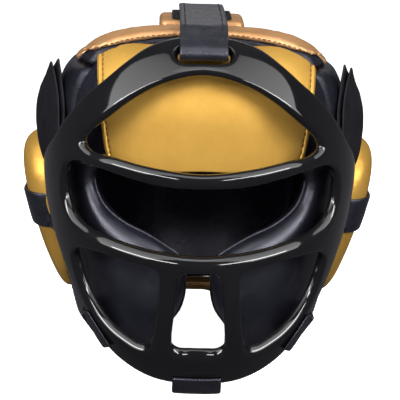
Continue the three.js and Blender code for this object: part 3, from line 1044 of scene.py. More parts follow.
LOOP_PILE = Finish(
    "black_loop_pile", (0.003, 0.003, 0.0035), (0.006, 0.006, 0.007), (0.01, 0.01, 0.011),
    smooth=0.85, rough=1.0, sheen=0.05, specular=0.1, grain=2400.0, crease=2.0, bump=0.9, bump_depth=0.0006,
    tone_scale=200.0,
)
DARK_THREAD = Finish(
    "dark_thread", (0.006, 0.006, 0.007), (0.012, 0.011, 0.012), (0.02, 0.02, 0.02),
    smooth=0.6, rough=0.8, specular=0.1, grain=5000.0, crease=0.3, bump=0.4, tone_scale=400.0,
)
GOLD_THREAD = replace(
    DARK_THREAD, name="gold_thread",
    tone=(0.24, 0.115, 0.018), shade=(0.18, 0.085, 0.013), worn=(0.3, 0.16, 0.03),
)
BROWN_THREAD = replace(
    DARK_THREAD, name="brown_thread",
    tone=(0.07, 0.03, 0.012), shade=(0.045, 0.018, 0.008), worn=(0.12, 0.06, 0.03),
)


# Sub-assemblies


def solid_box(node: str) -> tuple[Array, Array]:
    """The lowest and the highest corner of a solid's box."""
    low, high = (np.array(corner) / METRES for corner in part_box(node))
    return low, high


class SubAssembly:
    """What every sub-assembly does: it makes pieces that belong to the headgear's one body."""

    def add(
        self, name: str, shape: Shape, finish: Finish, slot: Optional[Slot] = None,
        stands_for: Optional[str] = None, fill: Optional[float] = None,
    ) -> bpy.types.Object:
        """Makes one piece of the headgear.

        Args:
            name: The piece's name.
            shape: Its mesh, in millimetres.
            finish: What its surface is.
            slot: The record's slot that the finish belongs to; not used.
            stands_for: The solid that the piece replaces.
            fill: How full a padded piece is, from 0 to 1; not used.

        Returns:
            The new object, riding on the headgear's body.
        """
        mesh = bpy.data.meshes.new(name)
        mesh.from_pydata((shape.vertices * METRES).tolist(), [], shape.faces)
        mesh.polygons.foreach_set("use_smooth", np.ones(len(mesh.polygons), bool))
        mesh.update()
        if shape.normals is not None:
            mesh.normals_split_custom_set_from_vertices(shape.normals.tolist())
        mesh.materials.append(finish.material())
        piece = bpy.data.objects.new(name, mesh)
        bpy.context.scene.collection.objects.link(piece)
        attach(piece, BODY)
        if stands_for:
            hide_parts(stands_for)
        return piece

    def build(self) -> list[bpy.types.Object]:
        """Makes the pieces of the sub-assembly."""
        raise NotImplementedError


@dataclass
class FaceCage(SubAssembly):
    """The moulded cage: a rounded shell cut by windows whose edges point at one spot above the eyes."""

    wall: float = 8.0
    edge_radius: float = 3.7
    cell: float = 1.1
    polish: int = 4
    draw_point: tuple[float, float, float] = (0.0, -10.0, 175.0)
    widest_turn: float = 96.0
    lowest_tilt: float = -72.0
    highest_tilt: float = 66.0
    angle_step: float = 0.34
    nearby: float = 12.0
    edge_steps: int = 260
    window_steps: int = 200
    low: tuple = (-108, -135, 6)
    high: tuple = (108, -32, 241)
    # Half outlines, as x and z, from the middle plane
    arch: tuple = ((0, 240), (16, 239), (36, 234), (52, 224), (66, 212), (79, 200), (90, 186), (100, 168))
    chin: tuple = ((62, 28), (46, 16), (28, 9), (0, 7))
    lens: tuple = (
        (0, 219.5), (28, 213.5), (47, 203), (64, 189), (77, 176.5), (80, 170), (75, 165), (58, 163),
        (32, 159), (0, 156),
    )
    eye: tuple = (
        (0, 147), (29, 148), (52, 152), (68, 155), (85, 156), (91, 150), (93, 137), (91, 125), (86, 116),
        (77, 110), (64, 107), (48, 104), (28, 101), (0, 99),
    )
    centre: tuple = (
        (0, 90), (11, 89), (14, 85), (16.5, 60), (18, 41), (17.2, 34), (13, 31.2), (6, 31), (0, 31),
    )
    slot: tuple = ((0, 234), (14, 234), (17.5, 232), (17.5, 228), (14, 226), (0, 226))
    # A whole outline, as x and z
    lower: tuple = (
        (30, 91), (42, 94), (56, 96), (72, 97), (82, 95), (85, 88), (82, 76), (77, 63), (69, 50), (60, 41),
        (50, 35), (41, 31), (35, 31), (32, 38), (29, 60), (27.5, 86),
    )
    # The side rails' rear edge, as y and z
    rear: tuple = ((-36, 148), (-38, 124), (-52, 102), (-63, 84), (-72, 66), (-83, 46))

    def __post_init__(self) -> None:
        """Works out the table of distances to the cage's edges."""
        self.table = self.edge_table()

    def on_face(self, corners: Array) -> Array:
        """Corners given as x and z, on the cage's face."""
        x, z = np.asarray(corners, float).T
        return np.stack([x, CAGE_BODY.front_y(x, z), z], 1)

    def outer_edge(self) -> Array:
        """The cage's outer edge, as a loop on its face.

        Returns:
            Points of the loop.
        """
        y, z = np.asarray(self.rear, float).T
        rail = np.stack([CAGE_BODY.side_x(y, z), y, z], 1)
        half = np.vstack([self.on_face(self.arch), rail, self.on_face(self.chin)])
        other = half[1:-1][::-1] * np.array([-1, 1, 1])
        return curve_through(np.vstack([half, other]), self.edge_steps)

    def windows(self) -> list[Array]:
        """The windows' loops on the cage's face.

        Returns:
            One loop for each window.
        """
        loops = [whole_loop(half) for half in (self.lens, self.eye, self.centre, self.slot)]
        loops += [np.array(self.lower, float), mirrored_loop(self.lower)]
        return [curve_through(self.on_face(loop), self.window_steps) for loop in loops]

    def angles(self, points: Array) -> tuple[Array, Array]:
        """Turn and tilt of points as seen from the draw point, in degrees."""
        x, y, z = (points - np.array(self.draw_point)).T
        return np.degrees(np.arctan2(x, -y)), np.degrees(np.arctan2(z, np.hypot(x, y)))

    def edge_table(self) -> DistanceTable:
        """Distances along the face to the nearest edge, negative on the bars.

        Returns:
            A table over turn and tilt.
        """
        turn = np.arange(-self.widest_turn, self.widest_turn, self.angle_step)
        tilt = np.arange(self.lowest_tilt, self.highest_tilt, self.angle_step)
        grid = np.stack(np.meshgrid(turn, tilt, indexing="ij"), -1).reshape(-1, 2)
        a, b = np.radians(grid).T
        ways = np.stack([np.sin(a) * np.cos(b), -np.cos(a) * np.cos(b), np.sin(b)], 1)
        spots = CAGE_BODY.reach(np.tile(self.draw_point, (len(ways), 1)), ways)
        total = np.full(len(grid), -FAR)
        for sign, loop in [(1, self.outer_edge()), *((-1, window) for window in self.windows())]:
            seen = np.stack(self.angles(loop), 1)
            low, high = seen.min(0) - self.nearby, seen.max(0) + self.nearby
            near = ((grid > low) & (grid < high)).all(1)
            outside = np.where(is_inside(grid[near], seen), -sign, sign)
            total[near] = np.maximum(total[near], line_distance(spots[near], loop) * outside)
            if sign > 0:
                total[~near] = FAR
        low = (-self.widest_turn, self.lowest_tilt)
        return DistanceTable(low, self.angle_step, total.reshape(len(turn), len(tilt)))

    def field(self, points: Array) -> Array:
        """Signed distance to the cage.

        Args:
            points: One row for each.

        Returns:
            Distances, negative inside.
        """
        skin = CAGE_BODY.distance(points)
        result = np.maximum(skin, -skin - self.wall)
        near = np.abs(skin + self.wall / 2) < self.wall
        edge = self.table.at(*self.angles(points[near]))
        parts = [skin[near], -skin[near] - self.wall, edge]
        result[near] = rounded_overlap(parts, self.edge_radius)
        return result

    def build(self) -> list[bpy.types.Object]:
        """Makes the cage.

        Returns:
            The new pieces.
        """
        shape = net_shape(self.field, self.low, self.high, self.cell)
        normals, quads = shape.normals, np.array(shape.faces)
        for _ in range(self.polish):
            normals = unit(relaxed(normals, quads))
        polished = replace(shape, normals=normals)
        return [self.add("cage", polished, GLOSS_PLASTIC, Slot.PLASTIC, "face_cage")]


@dataclass
class PaddedGuard(SubAssembly):
    """The padded leather guard, cut into panels along its seams."""

    padding: float = 18.0
    seam_gap: float = 0.3
    seam_radius: float = 4.5
    roll_radius: float = 8.5
    cheek_roll: float = 16.0
    cheek_rim: float = 3.0
    cell: float = 1.9
    forehead_seam_y: float = -46.0
    forehead_top_z: float = 232.0
    brow_z: float = 150.0
    cheek_seam_y: float = 8.0
    side_seam_y: float = 78.0
    back_top_half_width: float = 64.0
    back_top_y: float = 40.0
    back_top_z: float = 180.0
    crown_back_y: float = 85.0
    crown_half_width: float = 91.0
    crown_seam_z: float = 212.0
    roll_width: float = 20.0
    lip_half_width: float = 70.0
    lip_z: float = 185.0
    nape_seam_y: float = 62.0
    nape_top_z: float = 26.0
    nape_half_width: float = 62.0
    opening_rear_y: float = -20.0
    opening_steps: int = 140
    arch_steps: int = 60
    # Half outline of the face opening, as x and z
    opening: tuple = (
        (0, 150), (42, 150), (66, 148), (70, 138), (66, 124), (59, 116), (48, 109), (36, 104), (22, 96),
        (11, 88), (7, 78), (7, 64), (11, 52), (18, 42), (26, 26), (34, 8), (36, -10), (0, -10),
    )
    # Lower edge, as y and z
    lower_edge: tuple = (
        (-140, 24), (-98, 22), (-88, 13), (-76, 12), (-64, 17), (-50, 23), (-30, 27), (0, 28), (30, 27),
        (50, 22), (160, 22),
    )
    # Arch under the nape, as x and z
    nape_arch: tuple = ((-26, -10), (26, -10), (23, 4), (14, 15.5), (0, 17), (-14, 15.5), (-23, 4))
    # The crown's hem, and how far the leather below it is set in
    hem_z: float = 234.4
    hem_drop: float = 12.2
    hem_half_width: float = 77.0
    hem_rear_y: float = -27.0
    hem_fall: float = 0.8
    hem_step: float = 0.5
    hem_power: float = 2.1
    hem_edge: float = 1.3
    hem_gap: float = 0.1
    hem_recess: float = 1.6
    recess_from: float = 70.0
    recess_to: float = 82.0
    recess_edge: float = 1.0
    hem_stitch_rise: float = 2.6
    hem_stitch_reach: float = 80.0
    crown_roll: float = 5.0
    # Folds, puckers and the groove in the leather
    fold_size: float = 26.0
    fine_size: float = 9.0
    fold_power: int = 6
    fine_share: float = 0.3
    fold_depth: float = 0.5
    front_fold_depth: float = 0.4
    pucker_size: float = 14.0
    pucker_stretch: tuple = (0.22, 1.0, 1.0)
    pucker_depth: float = 0.32
    pucker_front_y: float = -36.0
    pucker_rear_y: float = -20.0
    nape_groove_z: float = 21.0
    nape_groove_width: float = 1.1
    nape_groove_depth: float = 1.2
    # Rows of stitches, and the cord along the cheek pads
    stitch_inset: float = 4.5
    middle_inset: float = 2.6
    rear_rows: tuple = (34, 172)
    middle_rows: tuple = (34, 198)
    cheek_rows: tuple = (24, 140)
    row_steps: int = 90
    middle_steps: int = 110
    hem_steps: int = 160
    cord_radius: float = 1.0
    cord_depth: float = 12.5
    cord_inset: float = 0.6
    cord_least_x: float = 2.5
    cord_low_z: float = 16.0
    cord_high_z: float = 141.0
    fill: float = 0.8

    def __post_init__(self) -> None:
        """Works out the tables of distances to the outlines."""
        self.opening_loop = curve_through(whole_loop(self.opening), self.opening_steps)
        self.opening_table = DistanceTable.of_loop(self.opening_loop)
        self.arch_table = DistanceTable.of_loop(curve_through(self.nape_arch, self.arch_steps))

    def shell(self, points: Array) -> list[Array]:
        """The padding between the guard's outside and the head room."""
        return [GUARD.distance(points), -HEAD_ROOM.distance(points, -self.padding)]

    def outside_opening(self, points: Array) -> Array:
        """Keeps what lies round the face opening."""
        loop = -self.opening_table.at(points[:, 0], points[:, 2])
        return np.minimum(loop, self.opening_rear_y - points[:, 1])

    def above_edge(self, points: Array) -> Array:
        """Keeps what lies above the guard's lower edge."""
        y, z = np.array(self.lower_edge, float).T
        return np.interp(points[:, 1], y, z) - points[:, 2]

    def crown_block(self, points: Array, grow: float) -> Array:
        """The crown's room, with the lip that reaches down inside the forehead pad.

        Args:
            points: One row for each.
            grow: How far it is moved out.

        Returns:
            Distances, negative inside.
        """
        x, y, z = np.abs(points[:, 0]), points[:, 1], points[:, 2]
        front = self.forehead_seam_y - grow - y
        top = [x - self.crown_half_width, y - self.crown_back_y, self.crown_seam_z - z]
        lip = [x - self.lip_half_width, y - self.forehead_seam_y - self.roll_width, self.lip_z - z]
        rooms = [np.maximum(np.max(walls, axis=0) - grow, front) for walls in (top, lip)]
        return np.minimum(*rooms)

    def nape_block(self, points: Array, grow: float) -> Array:
        """The nape pad's room."""
        x, y, z = np.abs(points[:, 0]), points[:, 1], points[:, 2]
        return np.max([x - self.nape_half_width, self.nape_seam_y - y, z - self.nape_top_z], axis=0) - grow

    def back_block(self, points: Array, grow: float) -> Array:
        """The back panel's room.

        Args:
            points: One row for each.
            grow: How far it is moved out.

        Returns:
            Distances, negative inside.
        """
        x, y, z = np.abs(points[:, 0]), points[:, 1], points[:, 2]
        walls = [x - self.back_top_half_width, self.back_top_y - y, self.back_top_z - z]
        return np.minimum(self.side_seam_y - y, np.max(walls, axis=0)) - grow

    def forehead(self, points: Array) -> Array:
        """Signed distance to the forehead pad.

        Args:
            points: One row for each.

        Returns:
            Distances, negative inside.
        """
        y, z = points[:, 1], points[:, 2]
        gap = self.seam_gap
        body = rounded_overlap([*self.shell(points), self.brow_z + gap - z], self.roll_radius)
        seams = [y - self.forehead_seam_y + gap, z - self.forehead_top_z]
        return rounded_overlap([body, *seams], self.seam_radius)

    def crown(self, points: Array) -> Array:
        """Signed distance to the crown panel with its rolled front edge.

        Args:
            points: One row for each.

        Returns:
            Distances, negative inside.
        """
        roll_end = self.forehead_seam_y + self.roll_width
        outer, inner = self.shell(points)
        roll = rounded_overlap([CROWN_ROLL.distance(points), points[:, 1] - roll_end], self.crown_roll)
        outer = np.minimum(outer, roll)
        return rounded_overlap([outer, inner, self.crown_block(points, -self.seam_gap)], self.seam_radius)

    def hem_height(self, x: Array) -> Array:
        """The height of the crown's hem."""
        return self.hem_z - self.hem_drop * np.abs(x / self.hem_half_width) ** self.hem_power

    def under_hem(self, points: Array) -> Array:
        """Keeps the front of the crown below its hem."""
        fall = self.hem_fall * np.maximum(points[:, 1] - self.hem_rear_y, 0.0)
        return points[:, 2] - self.hem_height(points[:, 0]) + fall

    def crown_cover(self, points: Array) -> Array:
        """Signed distance to the crown above its hem."""
        return rounded_overlap([self.crown(points), -self.under_hem(points)], self.hem_edge)

    def crown_front(self, points: Array) -> Array:
        """Signed distance to the leather below the crown's hem, which lies a step further in.

        Args:
            points: One row for each.

        Returns:
            Distances, negative inside.
        """
        ends = smooth_step(np.abs(points[:, 0]), self.recess_from, self.recess_to)
        inner = self.crown(points) + self.hem_step + self.hem_recess * ends
        return rounded_overlap([inner, self.under_hem(points) + self.hem_gap], self.recess_edge)

    def cheek(self, points: Array) -> Array:
        """Signed distance to the right cheek pad.

        Args:
            points: One row for each.

        Returns:
            Distances, negative inside.
        """
        x, y, z = points.T
        gap = self.seam_gap
        outer, inner = self.shell(points)
        rolled = rounded_overlap([outer, self.outside_opening(points), gap - x], self.cheek_roll)
        body = rounded_overlap([rolled, inner], self.cheek_rim)
        seams = [y - self.cheek_seam_y + gap, z - self.brow_z + gap, self.above_edge(points)]
        return rounded_overlap([body, *seams], self.seam_radius)

    def sides_and_back(self, points: Array) -> list[Array]:
        """What the side and back panels share.

        Args:
            points: One row for each.

        Returns:
            Signed distances to overlap.
        """
        y, z = points[:, 1], points[:, 2]
        gap = self.seam_gap
        upper = np.maximum(self.brow_z + gap - z, self.forehead_seam_y + gap - y)
        behind = np.minimum(upper, self.cheek_seam_y + gap - y)
        blocks = [-self.crown_block(points, gap), -self.nape_block(points, gap)]
        return [*self.shell(points), behind, self.above_edge(points), *blocks]

    def side_panel(self, points: Array) -> Array:
        """Signed distance to the right side panel."""
        parts = [*self.sides_and_back(points), -points[:, 0], -self.back_block(points, self.seam_gap)]
        return rounded_overlap(parts, self.seam_radius)

    def back_panel(self, points: Array) -> Array:
        """Signed distance to the back panel."""
        parts = [*self.sides_and_back(points), self.back_block(points, -self.seam_gap)]
        return rounded_overlap(parts, self.seam_radius)

    def nape(self, points: Array) -> Array:
        """Signed distance to the nape pad.

        Args:
            points: One row for each.

        Returns:
            Distances, negative inside.
        """
        arch = -self.arch_table.at(points[:, 0], points[:, 2])
        parts = [*self.shell(points), self.nape_block(points, -self.seam_gap), -points[:, 2], arch]
        return rounded_overlap(parts, self.seam_radius)

    def creased(self, shape: Shape, depth: float, seed: int) -> Shape:
        """The shape with shallow leather folds pressed into it.

        Args:
            shape: The plain shape.
            depth: How deep the folds are.
            seed: Which folds it has.

        Returns:
            The creased shape.
        """
        points = shape.vertices
        folds = 1 - np.abs(SoftNoise(seed, self.fold_size).at(points))
        fine = SoftNoise(seed + 1, self.fine_size).at(points)
        dent = depth * (folds**self.fold_power + self.fine_share * fine)
        return shape.moved(-shape.normals * dent[:, None])

    def pleated(self, shape: Shape, seed: int) -> Shape:
        """The shape with short puckers that run across its front edge.

        Args:
            shape: The plain shape.
            seed: Which puckers it has.

        Returns:
            The puckered shape.
        """
        points = shape.vertices
        puckers = SoftNoise(seed, self.pucker_size, self.pucker_stretch).at(points)
        front = 1 - smooth_step(points[:, 1], self.pucker_front_y, self.pucker_rear_y)
        return shape.moved(-shape.normals * (self.pucker_depth * front * puckers)[:, None])

    def grooved(self, shape: Shape) -> Shape:
        """The nape's shape with a groove that parts it in two rolls."""
        away = (shape.vertices[:, 2] - self.nape_groove_z) / self.nape_groove_width
        return shape.moved(-shape.normals * (self.nape_groove_depth * np.exp(-(away**2)))[:, None])

    def hem_thread(self) -> Shape:
        """The row of stitches above the crown's hem.

        Returns:
            The stitches.
        """
        x = np.linspace(-self.hem_stitch_reach, self.hem_stitch_reach, self.hem_steps)
        z = self.hem_height(x) + self.hem_stitch_rise
        guess = np.stack([x, np.full_like(x, self.forehead_seam_y), z], 1)
        return Stitching(length=2.1, gap=1.5, radius=0.3).on_surface(self.crown_cover, guess)

    def back_thread(self) -> Shape:
        """The rows of stitches beside the back panel's edges and down its middle.

        Returns:
            The stitches.
        """
        z = np.linspace(*self.rear_rows, self.row_steps)
        height = np.linspace(*self.middle_rows, self.middle_steps)
        y = np.full_like(z, self.side_seam_y + self.stitch_inset)
        edge = np.stack([GUARD.side_x(y, z), y, z], 1)
        inset = np.full_like(height, self.middle_inset)
        starts = np.stack([inset, np.full_like(height, GUARD.centre_y), height], 1)
        middle = GUARD.reach(starts, np.tile([0.0, 1.0, 0.0], (len(starts), 1)))
        rows = []
        for side in Side:
            for line in (edge, middle):
                rows.append(Stitching().on_surface(self.back_panel, side.mirrored(line)))
        return joined(rows)

    def side_thread(self) -> Shape:
        """The rows of stitches beside the right side panel's front and rear seams.

        Returns:
            The stitches.
        """
        rows = []
        for y, heights, field in (
            (self.cheek_seam_y - self.stitch_inset, self.cheek_rows, self.cheek),
            (self.cheek_seam_y + self.stitch_inset, self.cheek_rows, self.side_panel),
            (self.side_seam_y - self.stitch_inset, self.rear_rows, self.side_panel),
        ):
            z = np.linspace(*heights, self.row_steps)
            across = np.full_like(z, y)
            guess = np.stack([GUARD.side_x(across, z), across, z], 1)
            rows.append(Stitching().on_surface(field, guess))
        return joined(rows)

    def piping(self) -> Shape:
        """The cord along the right cheek pad's edge of the face opening.

        Returns:
            The cord.
        """
        x, z = self.opening_loop.T
        keep = (x > self.cord_least_x) & (z < self.cord_high_z) & (z > self.cord_low_z)
        x, z = x[keep], z[keep]
        order = np.argsort(-z)
        x, z = x[order], z[order]
        guess = np.stack([x + self.cord_inset, GUARD.front_y(x, z) + self.cord_depth, z], 1)
        path = settle(self.cheek, guess, SETTLING)
        return tube_shape(path, unit(slope_of(self.cheek, path)), self.cord_radius)

    def build(self) -> list[bpy.types.Object]:
        """Makes the panels.

        Returns:
            The new pieces.
        """
        made = []

        def net(field: Field, node: str) -> Shape:
            """Meshes a field in the box of its solid."""
            return net_shape(field, *solid_box(node), self.cell)

        fill = self.fill
        forehead = self.creased(net(self.forehead, "forehead_pad"), self.fold_depth, seed=1)
        made.append(self.add("forehead", forehead, BLACK_LEATHER, Slot.LEATHER, "forehead_pad", fill))
        crown = self.pleated(net(self.crown_cover, "crown_panel"), seed=8)
        made.append(self.add("crown", crown, BRONZE_LEATHER, Slot.GOLD, "crown_panel", fill))
        front = self.creased(net(self.crown_front, "crown_panel"), self.front_fold_depth, seed=11)
        made.append(self.add("crown_front", front, BLACK_LEATHER, Slot.LEATHER, fill=fill))
        made.append(self.add("crown_hem_stitches", self.hem_thread(), BROWN_THREAD))
        back = self.creased(net(self.back_panel, "back_panel"), self.fold_depth, seed=15)
        made.append(self.add("back", back, BLACK_LEATHER, Slot.LEATHER, "back_panel", fill))
        made.append(self.add("back_stitches", self.back_thread(), DARK_THREAD))
        nape = self.grooved(net(self.nape, "nape_pad"))
        # The nape's finish is the gold leather darkened with painted shade.
        made.append(self.add("nape", nape, NAPE_LEATHER_PAINTED_SHADE, Slot.GOLD, "nape_pad", fill))
        thread, cord = self.side_thread(), self.piping()
        for side in Side:
            word = side.word
            for name, field, finish, seed in (
                ("cheek_pad", self.cheek, CHEEK_LEATHER, 40),
                ("side_panel", self.side_panel, BLACK_LEATHER, 52),
            ):
                plain = net(field, f"{name}_right")
                shape = self.creased(plain, self.fold_depth, seed + side.value * 3).mirrored(side)
                node = f"{name}_{word}"
                made.append(self.add(f"{node}_cover", shape, finish, Slot.LEATHER, node, fill))
            made.append(self.add(f"side_stitches_{word}", thread.mirrored(side), DARK_THREAD))
            made.append(self.add(f"cheek_piping_{word}", cord.mirrored(side), STRAP_LEATHER, Slot.STRAP))
        return made


@dataclass
class EarPads(SubAssembly):
    """The domed pads over the ears, each with the strap that crosses it."""

    clearance: float = 0.3
    thick_at_top: float = 24.0
    thick_at_foot: float = 15.0
    top_z: float = 143.0
    foot_z: float = 45.0
    lip: float = 4.0
    fill: float = 0.9
    cell: float = 1.8
    margin: float = 3.0
    centre: tuple = (37.0, 126.0)
    outline_steps: int = 240
    # Outline, as y and z
    outline: tuple = (
        (37, 154), (58, 148), (72, 130), (75, 108), (70, 82), (60, 58), (46, 41), (32, 37), (20, 43), (8, 62),
        (1, 86), (-1, 112), (4, 133), (17, 148),
    )
    strap_low_z: float = 88.0
    strap_high_z: float = 113.0
    strap_front_y: float = -56.0
    strap_rear_y: float = 77.5
    # The strap's bridge from the cage to the pad, as y and x
    bridge: tuple = ((-56, 89), (-36, 94.5), (-8, 102), (4, 106), (80, 100))
    strap_rise: float = 1.7
    strap_blend: float = 5.0
    strap_thickness: float = 2.4
    strap_relief: float = 0.15
    strap_inset: float = 3.5
    strap_rows: tuple = (0.05, 0.97)
    strap_steps: int = 260
    seam_share: float = 1.02
    seam_rise: float = 2.6
    seam_steps: int = 220
    base_radius: float = 2.5
    # Small folds that run in from the sewn edge, deeper at the pad's foot
    fold_size: float = 3.4
    fold_ring: float = 30.0
    fold_reach: float = 6.0
    fold_shares: tuple = (0.45, 0.9)
    fold_depth: float = 0.15
    foot_fold_depth: float = 0.6
    foot_fold_heights: tuple = (55.0, 100.0)
    first_fold: int = 61

    def __post_init__(self) -> None:
        """Works out how far the outline lies from the pad's middle, all round."""
        loop = curve_through(self.outline, self.outline_steps) - np.array(self.centre)
        turn = np.arctan2(loop[:, 1], loop[:, 0])
        order = np.argsort(turn)
        self.turns = turn[order]
        self.radii = np.hypot(*loop.T)[order]

    def fraction(self, y: Array, z: Array) -> Array:
        """How far out a spot is, as a share of the outline's distance.

        Args:
            y: The spots' y.
            z: Their z.

        Returns:
            One share for each spot.
        """
        away_y, away_z = y - self.centre[0], z - self.centre[1]
        radius = np.interp(np.arctan2(away_z, away_y), self.turns, self.radii, period=2 * math.pi)
        return np.hypot(away_y, away_z) / radius

    def bulge(self, z: Array) -> Array:
        """How high the dome stands over its lip."""
        return mix(self.thick_at_foot, self.thick_at_top, smooth_step(z, self.foot_z, self.top_z)) - self.lip

    def field(self, points: Array) -> Array:
        """Signed distance to the right ear pad.

        Args:
            points: One row for each.

        Returns:
            Distances, negative inside.
        """
        height = GUARD.distance(points)

        def gauge(spots: Array, heights: Array) -> Array:
            """How far out spots are, as a share of the dome's distance."""
            rise = np.maximum(heights - self.clearance - self.lip, 0.0) / self.bulge(spots[:, 2])
            return np.sqrt(rise**2 + self.fraction(spots[:, 1], spots[:, 2]) ** 4)

        here = gauge(points, height)
        step = 0.4
        slope = ((gauge(points, height + step) - here) / step) ** 2
        for axis in (1, 2):
            shift = np.zeros(3)
            shift[axis] = step
            slope += ((gauge(points + shift, height) - here) / step) ** 2
        dome = (here - 1) / np.sqrt(np.maximum(slope, 1e-6))
        return rounded_overlap([dome, self.clearance - height], self.base_radius)

    def dome_x(self, y: Array, z: Array) -> Array:
        """The x of the pad's outer face."""
        swell = np.sqrt(1 - np.clip(self.fraction(y, z), 0.0, 1.0) ** 4)
        return GUARD.side_x(y, z, self.clearance) + self.lip + self.bulge(z) * swell

    def strap(self) -> Ribbon:
        """The strap from the cage's rail over the right pad.

        Returns:
            The strap.
        """
        ys = np.linspace(self.strap_front_y, self.strap_rear_y, self.strap_steps)
        middle_z = (self.strap_low_z + self.strap_high_z) / 2
        walk = np.stack([self.strap_x(ys, np.full_like(ys, middle_z)), ys], 1)
        walked = walked_along(walk)
        width = self.strap_high_z - self.strap_low_z

        def middle(along: Array, across: Array) -> Array:
            """The strap's middle surface at two shares."""
            y, z = np.interp(along * walked[-1], walked, ys), middle_z - across * width / 2
            return np.stack([self.strap_x(y, z), y, z], 1)

        return Ribbon(middle, walked[-1], width, self.strap_thickness, relief=self.strap_relief, seed=21)

    def strap_x(self, y: Array, z: Array) -> Array:
        """The x of the strap's middle, on its bridge or on the pad.

        Args:
            y: The spots' y.
            z: Their z.

        Returns:
            One x for each spot.
        """
        bridge = np.interp(y, *np.array(self.bridge, float).T)
        pad = np.where(y > 0, self.dome_x(y, z) + self.strap_rise, 0.0)
        share = np.clip((pad - bridge) / self.strap_blend / 2 + 0.5, 0.0, 1.0)
        return mix(bridge, pad, share) + self.strap_blend * share * (1 - share)

    def sewn(self, shape: Shape, seed: int) -> Shape:
        """The pad's shape with small folds that run in from its sewn edge.

        Args:
            shape: The plain pad.
            seed: Which folds it has.

        Returns:
            The folded pad.
        """
        points = shape.vertices
        share = self.fraction(points[:, 1], points[:, 2])
        turn = np.arctan2(points[:, 2] - self.centre[1], points[:, 1] - self.centre[0])
        round_y, round_z = self.fold_ring * np.cos(turn), self.fold_ring * np.sin(turn)
        ring = np.stack([round_y, round_z, share * self.fold_reach], 1)
        folds = SoftNoise(seed, self.fold_size).at(ring) * smooth_step(share, *self.fold_shares)
        low = 1 - smooth_step(points[:, 2], *self.foot_fold_heights)
        depth = folds * (self.fold_depth + self.foot_fold_depth * low)
        return shape.moved(-shape.normals * depth[:, None])

    def seam_thread(self) -> Shape:
        """The stitches round the pad's lip.

        Returns:
            The stitches.
        """
        turn = np.linspace(0, 2 * math.pi, self.seam_steps)
        radius = np.interp(turn, self.turns, self.radii, period=2 * math.pi) * self.seam_share
        y, z = self.centre[0] + radius * np.cos(turn), self.centre[1] + radius * np.sin(turn)
        guess = np.stack([GUARD.side_x(y, z, self.seam_rise), y, z], 1)
        return Stitching(length=2.8, gap=1.6, radius=0.4).on_surface(self.field, guess)

    def build(self) -> list[bpy.types.Object]:
        """Makes both pads and their straps.

        Returns:
            The new pieces.
        """
        low, high = solid_box("ear_pad_right")
        pad = net_shape(self.field, low, high + np.array([self.margin, 0, 0]), self.cell)
        seam = self.seam_thread()
        ribbon = self.strap()
        strap = ribbon.shape()
        thread = joined(ribbon.stitches(self.strap_inset, Stitching(), self.strap_rows))
        made = []
        for side in Side:
            word = side.word
            cushion = self.sewn(pad, self.first_fold + side.value).mirrored(side)
            made.append(self.add(
                f"ear_cushion_{word}", cushion, GOLD_LEATHER, Slot.GOLD, f"ear_pad_{word}", self.fill,
            ))
            made.append(self.add(f"ear_cushion_stitches_{word}", seam.mirrored(side), GOLD_THREAD))
            made.append(self.add(
                f"ear_band_{word}", strap.mirrored(side), STRAP_LEATHER, Slot.STRAP, f"ear_strap_{word}",
            ))
            made.append(self.add(f"ear_band_stitches_{word}", thread.mirrored(side), DARK_THREAD))
        return made


